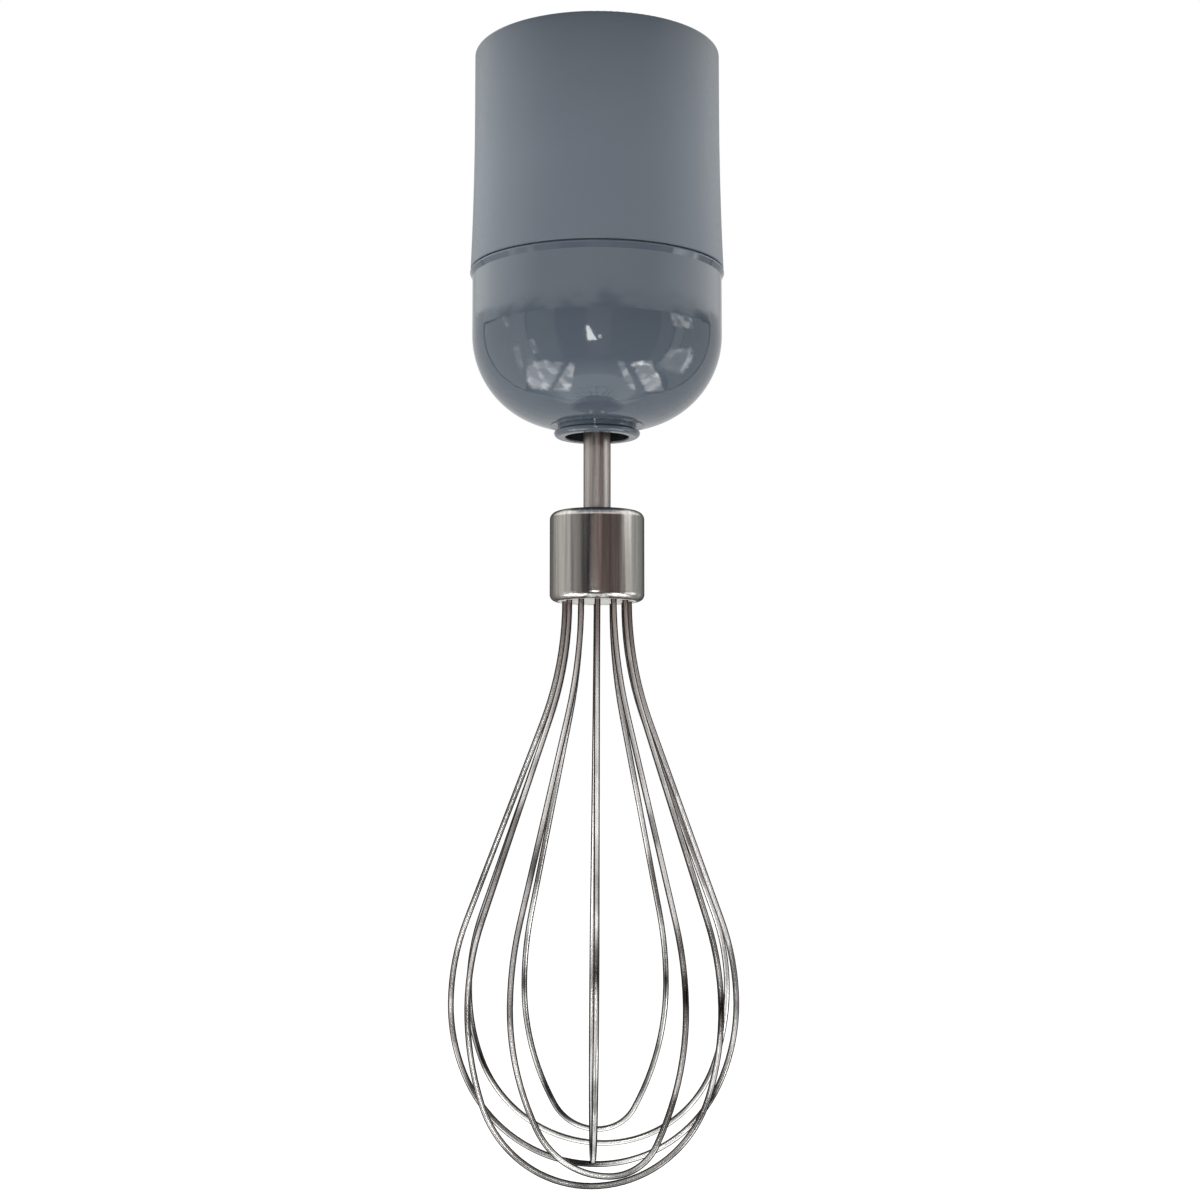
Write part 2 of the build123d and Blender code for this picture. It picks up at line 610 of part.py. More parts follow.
def gear_housing():
    """Pot for the ring gear, screw bosses outside it and the long bearing tube below."""
    pot = turned(
        [
            (HOUSING_BORE_R, COVER_Z),
            (HOUSING_R, COVER_Z),
            (HOUSING_R, FLOOR_Z),
            (TUBE_R, FLOOR_Z),
            (TUBE_R, RECESS_Z),
            (OUT_BUSH_R + PRESS_GAP, RECESS_Z),
            (OUT_BUSH_R + PRESS_GAP, FLOOR_TOP_Z),
            (RING_ROOT_R, FLOOR_TOP_Z),
            (RING_ROOT_R, RING_Z),
            (HOUSING_BORE_R, RING_Z),
        ]
    )
    boss = disc(SCREW_BOSS_R, SCREW_BOSS_Z, COVER_Z)
    keep = tube(SPIGOT_R, HOUSING_BORE_R, SCREW_BOSS_Z, COVER_Z)
    pot += [keep & (place * boss) for place in screw_places()]
    gusset = block(2 * (HOUSING_R - HOUSING_WALL), GUSSET_T, FLOOR_Z - GUSSET_H, FLOOR_Z, 0)
    cone = Pos(0, 0, FLOOR_Z - GUSSET_H / 2) * Cone(TUBE_R, HOUSING_R - HOUSING_WALL, GUSSET_H)
    cone -= disc(TUBE_R - BEARING_TUBE_WALL / 2, FLOOR_Z - GUSSET_H, FLOOR_Z)
    pot += [cone & (Rot(0, 0, 360 / GUSSETS * i) * gusset) for i in range(GUSSETS // 2)]
    key = block(2 * (RING_KEY_H + SLIP_GAP), RING_KEY_W + 2 * SLIP_GAP, RING_Z, COVER_Z, HOUSING_BORE_R)
    slot_ring = disc(RING_R + RING_KEY_H + SLIP_GAP, RING_Z, COVER_Z)
    pot -= [slot_ring & side for side in around(key, RING_KEYS)]
    for place in screw_places():
        pot -= place * disc(SCREW_R + PRESS_GAP, SCREW_TIP_Z - END_PLAY, COVER_Z)
    return pot


def planet_carrier():
    """Round plate with pin holes and the hub that drives the whisk shaft."""
    plate = disc(CARRIER_R, CARRIER_Z, CARRIER_TOP_Z) + disc(CARRIER_HUB_R, HUB_Z, CARRIER_Z)
    for i in range(PLANETS):
        hole = Pos(CENTRES_R, 0, 0) * disc(PIN_R + PRESS_GAP, CARRIER_Z, CARRIER_TOP_Z)
        plate -= Rot(0, 0, 360 / PLANETS * i) * hole
    return plate - grown_shaft_top()


def shaft_top(radius_extra, low, high):
    """Upper end of the whisk shaft, round with one flat, grown by a gap."""
    radius = SHAFT_R + radius_extra
    flat = SHAFT_R - SHAFT_FLAT + radius_extra
    cut = Box(radius, 2 * radius, high - low, align=(Align.MIN, Align.CENTER, Align.MIN))
    return disc(radius, low, high) - Pos(flat, 0, low) * cut


def grown_shaft_top():
    """Space that the shaft's flatted end takes in the carrier."""
    return shaft_top(PRESS_GAP, HUB_Z, CARRIER_TOP_Z)


def planet_pins():
    """Headed pins that the planets turn on, riveted into the carrier."""
    pin = disc(PIN_R, CARRIER_Z, PIN_HEAD_Z) + disc(PIN_HEAD_R, PIN_HEAD_Z - PIN_HEAD_H, PIN_HEAD_Z)
    return [Rot(0, 0, 360 / PLANETS * i) * Pos(CENTRES_R, 0, 0) * pin for i in range(PLANETS)]


def thrust_washer():
    """Steel washer that the carrier's hub rides on."""
    return tube(THRUST_WASHER_R, SHAFT_R + SLIP_GAP, FLANGE_TOP_Z, WASHER_TOP_Z)


def upper_bush():
    """Flanged output bush in the housing floor."""
    bore = SHAFT_R + RUN_GAP
    bush = tube(OUT_BUSH_R, bore, FLOOR_TOP_Z - UPPER_BUSH_H, FLOOR_TOP_Z)
    return bush + tube(BUSH_FLANGE_R, bore, FLOOR_TOP_Z, FLANGE_TOP_Z)


def lower_bush():
    """Plain output bush at the foot of the bearing tube."""
    return tube(OUT_BUSH_R, SHAFT_R + RUN_GAP, RECESS_Z, RECESS_Z + LOWER_BUSH_H)


def retaining_ring():
    """Open clip in the shaft's groove, under the lower bush."""
    ring = tube(CLIP_R, SHAFT_R - CLIP_GROOVE + PRESS_GAP, CLIP_Z, CLIP_TOP_Z)
    return ring - Pos(0, -CLIP_R, 0) * block(CLIP_MOUTH, 2 * CLIP_R, CLIP_Z, CLIP_TOP_Z, 0)


def shaft_seal():
    """Rubber lip seal in the collar's hole."""
    outer = COLLAR_HOLE_R - PRESS_GAP
    lip = SHAFT_R + RUN_GAP
    web_z = SEAL_TOP_Z - SEAL_WEB_T
    lip_z = SEAL_TOP_Z - SEAL_LIP_H
    return turned(
        [
            (lip, SEAL_TOP_Z),
            (outer, SEAL_TOP_Z),
            (outer, SEAL_Z),
            (outer - SEAL_WALL, SEAL_Z),
            (outer - SEAL_WALL, web_z),
            (lip + SEAL_LIP_WALL, web_z),
            (lip + SEAL_LIP_WALL / 2, lip_z),
            (lip, lip_z),
        ]
    )


def whisk_shaft():
    """Steel rod: flatted top in the carrier, clip groove, lower end in the plug."""
    rod = shaft_top(0, HUB_Z, SHAFT_TOP_Z) + disc(SHAFT_R, SHAFT_END_Z, HUB_Z)
    rod -= tube(2 * SHAFT_R, SHAFT_R - CLIP_GROOVE, CLIP_Z - PRESS_GAP, CLIP_TOP_Z + PRESS_GAP)
    return chamfer(circle_edges(rod, SHAFT_R, SHAFT_END_Z), SHAFT_EDGE)


def ferrule():
    """Drawn steel cap: rounded shoulder, plain side, mouth turned in over the plug."""
    cap = disc(FERRULE_R, FACE_Z, FERRULE_TOP_Z)
    cap = fillet(circle_edges(cap, FERRULE_R, FERRULE_TOP_Z), FERRULE_TOP_EDGE_R)
    cap = fillet(circle_edges(cap, FERRULE_R, FACE_Z), FERRULE_LIP_EDGE_R)
    hollow = disc(FERRULE_R - FERRULE_WALL, FACE_Z + FERRULE_LIP_H, PLUG_TOP_Z)
    hollow = chamfer(circle_edges(hollow, FERRULE_R - FERRULE_WALL, PLUG_TOP_Z), PLUG_EDGE)
    hollow += disc(FERRULE_LIP_R, FACE_Z, FACE_Z + FERRULE_LIP_H)
    return cap - hollow - disc(SHAFT_R + PRESS_GAP, FACE_Z, FERRULE_TOP_Z)


def wire_frame(step, side, lean, turn):
    """Plane of one loop: origin at the plug's face, local Y upwards, leaning out by lean degrees."""
    out = -side * WIRE_CIRCLE_R * math.cos(math.radians(WIRE_STEP * step))
    tilt = math.radians(lean)
    normal = (0, -math.cos(tilt), side * math.sin(tilt))
    return Rot(0, 0, turn) * Plane(origin=(0, out, FACE_Z), x_dir=(1, 0, 0), z_dir=normal).location


def half_loop(hole_u, width, depth, low_u, turn_in):
    """Points of one side of a loop, from its hole to its lowest point, as (kind, points)."""
    lean = 2 * math.atan((width - hole_u) / (BELLY_DEPTH + STRAIGHT_RUN))
    both_r = (BELLY_DEPTH - STRAIGHT_RUN * math.cos(lean)) / math.sin(lean)
    flare_r = both_r * (1 - SHOULDER_SHARE)
    shoulder_r = both_r * SHOULDER_SHARE
    turn = math.radians(turn_in)
    reach = width - low_u
    # the lower side arc and the bottom arc meet with one tangent, the bottom arc centred under low_u
    a, b = 1 - math.cos(turn), math.cos(turn)
    c, d = math.sin(turn), 1 - math.sin(turn)
    side_r = (reach * d - b * depth) / (a * d - b * c)
    bottom_r = (a * depth - c * reach) / (a * d - b * c)

    def ring(centre, radius, angles):
        return [(centre[0] + radius * math.cos(t), centre[1] - radius * math.sin(t)) for t in angles]

    flare = ring((hole_u + flare_r, 0), -flare_r, (0, -lean / 2, -lean))
    shoulder = ring((width - shoulder_r, -BELLY_DEPTH), shoulder_r, (-lean, -lean / 2, 0))
    lower = ring((width - side_r, -BELLY_DEPTH), side_r, (0, turn / 2, turn))
    low_centre = (low_u, bottom_r - BELLY_DEPTH - depth)
    bottom = ring(low_centre, bottom_r, (turn, (turn + math.pi / 2) / 2, math.pi / 2))
    straight = [flare[2], shoulder[0]]
    return [("arc", flare), ("line", straight), ("arc", shoulder), ("arc", lower), ("arc", bottom)]


def mirrored(run):
    """The same run on the other side, walked the other way."""
    return [(kind, [(-u, v) for u, v in points[::-1]]) for kind, points in run[::-1]]


def loop_path(hole_u, left, right, depth, low_u, turn_in):
    """Whole centre line of a loop in its plane: tangent lines and arcs from hole to hole."""
    down = half_loop(hole_u, right, depth, low_u, turn_in)
    up = mirrored(half_loop(hole_u, left, depth, -low_u, turn_in))
    edges = [Line((hole_u, WIRE_EMBED), (hole_u, 0))]
    for kind, points in down + up:
        edges.append(ThreePointArc(*points) if kind == "arc" else Line(*points))
    edges.append(Line((-hole_u, 0), (-hole_u, WIRE_EMBED)))
    return Wire(edges)


def swept_wire(path, hole_u):
    """Round wire carried along a loop's centre line."""
    start = Plane(origin=(hole_u, WIRE_EMBED, 0), x_dir=(1, 0, 0), z_dir=(0, -1, 0))
    return sweep(start * Circle(WIRE_R), path=path)


def wire_sets():
    """Each loop's name with its place, half spacing of its holes and centre line."""
    sets = {}
    for name, (step, side, lean, *shape) in LOOPS.items():
        hole_u = WIRE_CIRCLE_R * math.sin(math.radians(WIRE_STEP * step))
        sets[name] = (wire_frame(step, side, lean, WHISK_TURN), hole_u, loop_path(hole_u, *shape))
    depth = MIDDLE_DEPTH - 2 * WIRE_R - CROSS_REST_GAP
    place = wire_frame(3, -1, CROSS_LEAN, WHISK_TURN + 3 * WIRE_STEP)
    shape = (CROSS_HALF_WIDTH, CROSS_HALF_WIDTH, depth, CROSS_LOW, CROSS_TURN_IN)
    sets["wire_loop_cross"] = (place, WIRE_CIRCLE_R, loop_path(WIRE_CIRCLE_R, *shape))
    return sets


def wire_plug(sets):
    """Plug moulded round the wire ends, stepped to sit inside the ferrule's turned-in mouth."""
    plug = disc(PLUG_R, FACE_Z + FERRULE_LIP_H + PRESS_GAP, PLUG_TOP_Z - PRESS_GAP)
    plug = chamfer(circle_edges(plug, PLUG_R, PLUG_TOP_Z - PRESS_GAP), PLUG_EDGE + PRESS_GAP)
    plug += disc(FERRULE_LIP_R - PRESS_GAP, FACE_Z, FACE_Z + FERRULE_LIP_H + PRESS_GAP)
    plug -= disc(SHAFT_R + PRESS_GAP, SHAFT_END_Z - PRESS_GAP, PLUG_TOP_Z)
    length = WIRE_EMBED + PRESS_GAP
    hole_r = WIRE_R + PRESS_GAP
    hole = Rot(-90, 0, 0) * Cylinder(hole_r, 2 * length)
    # the cone reaches as far out of the face as into it, so the mouth of a leaning hole is whole
    mouth = Rot(-90, 0, 0) * Cone(hole_r + 2 * HOLE_MOUTH_RIM, hole_r, 2 * HOLE_MOUTH_DEEP)
    for place, hole_u, _ in sets.values():
        plug -= [place * Pos(side * hole_u, 0, 0) * hole for side in (-1, 1)]
        plug -= [place * Pos(side * hole_u, 0, 0) * mouth for side in (-1, 1)]
    return plug


def main():
    os.makedirs("parts", exist_ok=True)
    sets = wire_sets()
    nodes = {
        "upper_casing": upper_casing(),
        "lower_casing": lower_casing(),
        "gearbox_cover": gearbox_cover(),
        "casing_screws": casing_screws(),
        "drive_coupling": drive_coupling(),
        "input_shaft": input_shaft(),
        "input_bush": input_bush(),
        "sun_pinion": sun_pinion(),
        "ring_gear": ring_gear(),
        "gear_housing": gear_housing(),
        "planet_carrier": planet_carrier(),
        "planet_pins": planet_pins(),
        "thrust_washer": thrust_washer(),
        "upper_bush": upper_bush(),
        "lower_bush": lower_bush(),
        "retaining_ring": retaining_ring(),
        "shaft_seal": shaft_seal(),
        "whisk_shaft": whisk_shaft(),
        "ferrule": ferrule(),
        "wire_plug": wire_plug(sets),
    }
    for index in range(PLANETS):
        nodes[f"planet_gear_{index + 1}"] = planet_gear(index)
    for name, (place, hole_u, path) in sets.items():
        nodes[name] = place * swept_wire(path, hole_u)
    for name, shape in nodes.items():
        solids = shape if isinstance(shape, list) else [shape]
        found = [solid for piece in solids for solid in piece.solids()]
        export_step(Compound(children=found) if len(found) > 1 else found[0], f"parts/{name}.step")
        print(f"{name}: {len(found)} solid(s), {sum(solid.volume for solid in found):.1f} mm3")


main()
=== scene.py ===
# %% [markdown]
# The whisk of a hand-held stick blender hangs in the air with its motor socket upwards, as in a shop
# picture: a satin cup on a glossy dome, a steel shaft and ferrule, and six wire loops.
# The exact solids are already made, so this lesson is about light, reflections and finishes.
# A solid could be modelled again here, but a finish on the exact one always fits, so each solid
# keeps its mesh and only gets a material. The floor and the things that only reflections see are
# surfaces from formulas.

# %% Load the solids
import math

import bpy
import numpy as np
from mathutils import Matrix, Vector


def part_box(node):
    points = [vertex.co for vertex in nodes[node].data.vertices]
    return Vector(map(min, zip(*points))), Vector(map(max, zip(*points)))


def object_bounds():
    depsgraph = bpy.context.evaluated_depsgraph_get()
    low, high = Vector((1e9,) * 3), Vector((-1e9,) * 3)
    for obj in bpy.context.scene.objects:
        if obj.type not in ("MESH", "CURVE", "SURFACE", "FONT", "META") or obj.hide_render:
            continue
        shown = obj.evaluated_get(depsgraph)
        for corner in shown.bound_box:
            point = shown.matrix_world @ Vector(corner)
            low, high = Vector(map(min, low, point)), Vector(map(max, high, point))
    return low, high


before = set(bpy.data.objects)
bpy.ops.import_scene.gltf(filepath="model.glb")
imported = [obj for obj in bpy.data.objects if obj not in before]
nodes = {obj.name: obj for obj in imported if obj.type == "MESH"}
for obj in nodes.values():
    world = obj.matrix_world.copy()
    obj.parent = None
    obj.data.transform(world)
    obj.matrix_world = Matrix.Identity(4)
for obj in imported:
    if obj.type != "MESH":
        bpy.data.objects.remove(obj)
cad_box = [list(corner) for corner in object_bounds()]
print("solids:", len(nodes), "box:", cad_box)

# %% [markdown]
# A few heights are needed again and again: for the lamps, the reflections and the finishes.
# They could be typed in, but then they would be wrong after the next change of the solids.
# Each comes from the box round a solid, so light and finish follow the part.

# %% Measure the solids
CUP_LOW, CUP_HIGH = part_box("upper_casing")
DOME_LOW, DOME_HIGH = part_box("lower_casing")
RIM_Z = CUP_HIGH.z
DOME_MIDDLE = (DOME_LOW.z + min(CUP_LOW.z, DOME_HIGH.z)) / 2
PLUG_FACE_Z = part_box("wire_plug")[0].z
HOLE_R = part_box("shaft_seal")[1].x
print(f"rim {RIM_Z:.4f} m, dome middle {DOME_MIDDLE:.4f} m, plug's face {PLUG_FACE_Z:.4f} m")
print(f"radius of the shaft's hole {HOLE_R:.4f} m")

# %% [markdown]
# The picture was taken from close by and a little below the socket, so the rims look like arcs that
# bulge upwards, and the sides lean in towards the top. A long lens from far away would lose both.
# The camera therefore stands less than half a metre away, level with the upper part of the wires, and
# looks up by a few degrees.

# %% Set up the camera
CAMERA_PLACE = (0.00065, -0.4327, -0.1362)
CAMERA_PITCH = math.radians(5.23)
CAMERA_LENS = 59.5
CAMERA_SENSOR = 36.0
CAMERA_NEAREST = 0.01

camera = bpy.data.objects.new("camera", bpy.data.cameras.new("camera"))
camera.data.lens = CAMERA_LENS
camera.data.sensor_width = CAMERA_SENSOR
camera.data.clip_start = CAMERA_NEAREST
camera.location = CAMERA_PLACE
camera.rotation_euler = (math.pi / 2 + CAMERA_PITCH, 0, 0)
bpy.context.scene.collection.objects.link(camera)
bpy.context.scene.camera = camera
bpy.context.scene.view_settings.view_transform = "Standard"
print("camera", tuple(round(x, 4) for x in camera.location), "lens", camera.data.lens)

# %% [markdown]
# Every new surface here is a grid: a formula gives a point for each pair of two parameters, and
# neighbouring points are joined by four-sided faces. Adding a primitive and pushing it about would
# also work, but a formula says in one line what the shape is, and numpy works it out in one go.


# %% A mesh from a grid of points
def grid_piece(name, points, closed_u=False):
    """Object whose mesh joins points[i, j] to its neighbours by quads; where u is closed, the last row
    is joined to the first too. Faces point to the side that du x dv points to."""
    rows, columns = points.shape[:2]
    index = np.arange(rows * columns).reshape(rows, columns)
    if closed_u:
        index = np.concatenate([index, index[:1]], axis=0)
    corners = [index[:-1, :-1], index[1:, :-1], index[1:, 1:], index[:-1, 1:]]
    quads = np.stack(corners, axis=-1).reshape(-1, 4)
    mesh = bpy.data.meshes.new(name)
    mesh.from_pydata(points.reshape(-1, 3).tolist(), [], quads.tolist())
    mesh.polygons.foreach_set("use_smooth", np.ones(len(quads), bool))
    mesh.update()
    piece = bpy.data.objects.new(name, mesh)
    bpy.context.scene.collection.objects.link(piece)
    return piece


def both(u_count, v_count, u_range=(0, 1), v_range=(0, 1), closed_u=False):
    """Two arrays with the parameters u and v at each point of a grid."""
    u = np.linspace(*u_range, u_count, endpoint=not closed_u)
    v = np.linspace(*v_range, v_count)
    return np.meshgrid(u, v, indexing="ij")


def add_uv(piece, u, v):
    """UV map of a grid piece from its two parameter arrays, for patterns that follow the surface."""
    layer = piece.data.uv_layers.new(name="UVMap")
    corners = np.zeros(len(piece.data.loops), int)
    piece.data.loops.foreach_get("vertex_index", corners)
    layer.data.foreach_set("uv", np.stack([u.ravel()[corners], v.ravel()[corners]], axis=1).ravel())


# %% [markdown]
# Lights and finishes are networks of nodes. They could be drawn by hand in the editor, but in a script
# they can be repeated and changed. Written out, each sum takes several lines, so one helper adds a
# step of arithmetic. Another tells which rays see a thing clearly: those from the camera, from
# mirror-like surfaces and through clear ones.


# %% Helpers for networks of nodes
def maths(tree, operation, first, second=None, clamp=False, third=None):
    """One step of arithmetic in a node tree; the values are sockets or plain numbers."""
    node = tree.nodes.new("ShaderNodeMath")
    node.operation = operation
    node.use_clamp = clamp
    for socket, value in zip(node.inputs, (first, second, third)):
        if isinstance(value, bpy.types.NodeSocket):
            tree.links.new(value, socket)
        elif value is not None:
            socket.default_value = value
    return node.outputs[0]


def clear_rays(tree):
    """One for rays from the camera, a mirror-like surface or a clear one, and zero for all others."""
    path = tree.nodes.new("ShaderNodeLightPath")
    seen = maths(tree, "MAXIMUM", path.outputs["Is Camera Ray"], path.outputs["Is Glossy Ray"])
    return maths(tree, "MAXIMUM", seen, path.outputs["Is Transmission Ray"])


# %% [markdown]
# The background is pure white, as in a shop picture. Turning up the lamps until the floor burns out
# would also bleach the object. Instead the world is white only for the clear rays, and it lights matt
# surfaces at a plain level.

# %% Light the world
WORLD_FOR_MATT = 0.5
MATT_COLOUR = (0.97, 0.98, 1.0, 1)
WHITE = (1, 1, 1, 1)

world = bpy.data.worlds.new("white_studio")
bpy.context.scene.world = world
world.use_nodes = True
tree = world.node_tree
tree.nodes.clear()
matt_light = tree.nodes.new("ShaderNodeBackground")
matt_light.inputs["Color"].default_value = MATT_COLOUR
matt_light.inputs["Strength"].default_value = WORLD_FOR_MATT
white_light = tree.nodes.new("ShaderNodeBackground")
white_light.inputs["Color"].default_value = WHITE
white_light.inputs["Strength"].default_value = 1.0
choose = tree.nodes.new("ShaderNodeMixShader")
output = tree.nodes.new("ShaderNodeOutputWorld")
tree.links.new(clear_rays(tree), choose.inputs["Fac"])
tree.links.new(matt_light.outputs[0], choose.inputs[1])
tree.links.new(white_light.outputs[0], choose.inputs[2])
tree.links.new(choose.outputs[0], output.inputs["Surface"])
print("world lights matt surfaces at", WORLD_FOR_MATT)

# %% [markdown]
# The object hangs clear of the floor, so the floor lies well below the wires. A square plane would
# show its edge in a low view. This one is a round grid that reaches far out, of pale matt paint, and
# for the clear rays it glows a little, so that only the shadow stays darker than white.

# %% Lay the floor
FLOOR_BELOW_WIRES = 0.22
FLOOR_R = 30.0
FLOOR_FIRST_R = 1e-4
FLOOR_GREY = (0.86, 0.86, 0.86, 1)
FLOOR_ROUGHNESS = 0.9
FLOOR_GLOW = 0.62

floor_z = cad_box[0][2] - FLOOR_BELOW_WIRES
turn, out = both(96, 24, (0, 2 * math.pi), (0, 1), closed_u=True)
reach = FLOOR_R * out**3 + FLOOR_FIRST_R
points = np.stack([reach * np.cos(turn), -reach * np.sin(turn), np.full_like(turn, floor_z)], axis=-1)
floor = grid_piece("floor", points, True)
paint = bpy.data.materials.new("pale_floor_paint")
paint.use_nodes = True
tree = paint.node_tree
shader = tree.nodes["Principled BSDF"]
shader.inputs["Base Color"].default_value = FLOOR_GREY
shader.inputs["Roughness"].default_value = FLOOR_ROUGHNESS
shader.inputs["Specular IOR Level"].default_value = 0.0
shader.inputs["Emission Color"].default_value = WHITE
glow = maths(tree, "MULTIPLY", clear_rays(tree), FLOOR_GLOW)
tree.links.new(glow, shader.inputs["Emission Strength"])
floor.data.materials.append(paint)
print(f"floor at {floor_z:.3f} m")

# %% [markdown]
# Matt plastic needs soft light from large lamps. Small ones would draw hard shadows of every wire.
# One stands at each side, so the sides of the cup are paler than its middle, a narrower one stands low
# in front, and one above the socket draws the object's shadow on the floor. A small one lies under
# the wires in place of the light that a white table throws back up at the dome.
# They don't show in reflections, because the polished parts get their own things to mirror below.

# %% Hang the lamps
# each row: name, place in metres, width in metres, watts
LAMPS = [
    ("lamp_left", (-1.6, 0.0, -0.1), 1.2, 9.5),
    ("lamp_right", (1.6, 0.1, -0.1), 1.2, 7.5),
    ("lamp_front", (-0.25, -1.0, -0.45), 0.9, 10.2),
    ("lamp_above", (0.1, 0.2, 1.6), 0.7, 10.0),
    ("lamp_below", (0.0, -0.06, -0.42), 0.35, 0.6),
]
for name, place, size, watts in LAMPS:
    lamp = bpy.data.objects.new(name, bpy.data.lights.new(name, "AREA"))
    lamp.data.size = size
    lamp.data.energy = watts
    lamp.location = place
    aim = Vector((0, 0, DOME_MIDDLE)) - lamp.location
    lamp.rotation_euler = aim.to_track_quat("-Z", "Y").to_euler()
    lamp.visible_glossy = False
    lamp.visible_camera = False
    bpy.context.scene.collection.objects.link(lamp)
print("lamps:", [name for name, *_ in LAMPS])

# %% [markdown]
# Some of the bright things that the dome mirrors are crumpled sheets. Modelling every crease would be
# slow and would hardly show. Cells of a Voronoi pattern, each with its own brightness, look the same
# in a small reflection, and a noise eats into the rim of the sheet so that it isn't cut off straight.

# %% A crumpled glow
FACET_BLUR = 0.5
FACET_CONTRAST = 2.0
FACET_SPAN = 1.35
FACET_DIMMEST = 0.3
RAGS_PER_METRE = 40
RAG_DETAIL = 4
RAG_BEND = (0.03, 0.03, 0.03)
RAG_BITE = 0.8
SHEET_REACH = 0.36
SHEET_RIM_STEEPNESS = 3.0


def uv_of(tree):
    """Node whose first two outputs are the two UV coordinates."""
    place = tree.nodes.new("ShaderNodeTexCoord")
    along = tree.nodes.new("ShaderNodeSeparateXYZ")
    tree.links.new(place.outputs["UV"], along.inputs[0])
    return along


def hill(tree, socket):
    """Zero at both ends of a UV coordinate and one in its middle."""
    return maths(tree, "MULTIPLY", maths(tree, "MULTIPLY", socket, 4.0), maths(tree, "SUBTRACT", 1.0, socket))


def soft_share(tree, kind):
    """Share, 0 to 1, by which a screen is there: a soft one has nothing at its left and right ends,
    and a sunk one nothing at its upper edge."""
    along = uv_of(tree)
    return maths(tree, "SUBTRACT", 1.0, along.outputs[1]) if kind == "sunk" else hill(tree, along.outputs[0])


def crumple(tree, strength, per_metre):
    """Sockets with the facets' brightness and with the share, 0 to 1, by which the sheet is there."""
    place = tree.nodes.new("ShaderNodeTexCoord")
    cells = tree.nodes.new("ShaderNodeTexVoronoi")
    cells.feature = "SMOOTH_F1"
    cells.inputs["Smoothness"].default_value = FACET_BLUR
    cells.inputs["Scale"].default_value = per_metre
    ragged = tree.nodes.new("ShaderNodeTexNoise")
    ragged.inputs["Scale"].default_value = RAGS_PER_METRE
    ragged.inputs["Detail"].default_value = RAG_DETAIL
    bent = tree.nodes.new("ShaderNodeVectorMath")
    bent.operation = "MULTIPLY_ADD"
    bent.inputs[1].default_value = RAG_BEND
    tree.links.new(place.outputs["Object"], ragged.inputs["Vector"])
    tree.links.new(ragged.outputs["Color"], bent.inputs[0])
    tree.links.new(place.outputs["Object"], bent.inputs[2])
    tree.links.new(bent.outputs[0], cells.inputs["Vector"])
    own = tree.nodes.new("ShaderNodeSeparateColor")
    tree.links.new(cells.outputs["Color"], own.inputs[0])
    varied = maths(tree, "POWER", own.outputs[0], FACET_CONTRAST)
    bright = maths(tree, "MULTIPLY_ADD", varied, FACET_SPAN, third=FACET_DIMMEST)
    along = uv_of(tree)
    inside = maths(tree, "MULTIPLY", hill(tree, along.outputs[0]), hill(tree, along.outputs[1]))
    worn = maths(tree, "MULTIPLY", ragged.outputs["Fac"], RAG_BITE)
    left = maths(tree, "SUBTRACT", maths(tree, "ADD", inside, SHEET_REACH), worn)
    facets = maths(tree, "MULTIPLY", bright, strength)
    fade = maths(tree, "MULTIPLY", left, SHEET_RIM_STEEPNESS, True)
    return facets, fade


# %% [markdown]
# Polished metal and glossy plastic show mostly what stands round them. Here that is a dark room in
# front of the object, with pale light above it and a white table under it.
# A picture of a room could be used, but a handful of plain coloured screens is enough, and each can
# be placed where the ferrule or the dome mirrors it.
# A screen is a piece of a sphere round the dome. Only reflections see it: it gives no other light.
# Where two overlap, the nearer one hides the other, so each kind has a radius of its own.
# Its direction is an azimuth, zero towards the camera and growing to the right, and an elevation.

# %% Screens that only reflections see
SCREEN_R = 0.39
BEHIND_R = SCREEN_R * 1.03
HIGH_R = SCREEN_R * 1.02
ROOM_R = SCREEN_R * 0.995
CARD_R = SCREEN_R * 0.99
UPRIGHT_R = SCREEN_R * 0.985
PATCH_R = SCREEN_R * 0.97


def direction(azimuth, elevation):
    """Unit vectors for azimuth and elevation arrays in degrees."""
    a, e = np.radians(azimuth), np.radians(elevation)
    return np.stack([np.sin(a) * np.cos(e), -np.cos(a) * np.cos(e), np.sin(e)], axis=-1)


def screen(name, directions, radius, colour, strength, kind="plain", per_metre=0):
    """Sphere patch round the dome's middle through a grid of directions, glowing for reflections.
    A crumpled one is made of facets of unequal brightness and fades out unevenly towards its rim, a
    soft one fades out evenly towards its left and right ends, and a sunk one towards its top."""
    points = directions * radius + np.array([0, 0, DOME_MIDDLE])
    piece = grid_piece(name, points)
    piece.visible_camera = False
    piece.visible_diffuse = False
    piece.visible_transmission = False
    piece.visible_volume_scatter = False
    piece.visible_shadow = False
    glow = bpy.data.materials.new(name)
    glow.use_nodes = True
    tree = glow.node_tree
    tree.nodes.clear()
    light = tree.nodes.new("ShaderNodeEmission")
    light.inputs["Color"].default_value = (*colour, 1)
    light.inputs["Strength"].default_value = strength
    output = tree.nodes.new("ShaderNodeOutputMaterial")
    surface = light.outputs[0]
    if kind != "plain":
        rows, columns = directions.shape[:2]
        add_uv(piece, *both(rows, columns))
        if kind == "crumpled":
            facets, fade = crumple(tree, strength, per_metre)
            tree.links.new(facets, light.inputs["Strength"])
        else:
            fade = soft_share(tree, kind)
        clear = tree.nodes.new("ShaderNodeBsdfTransparent")
        cover = tree.nodes.new("ShaderNodeMixShader")
        tree.links.new(fade, cover.inputs["Fac"])
        tree.links.new(clear.outputs[0], cover.inputs[1])
        tree.links.new(light.outputs[0], cover.inputs[2])
        surface = cover.outputs[0]
    tree.links.new(surface, output.inputs["Surface"])
    piece.data.materials.append(glow)
    return piece


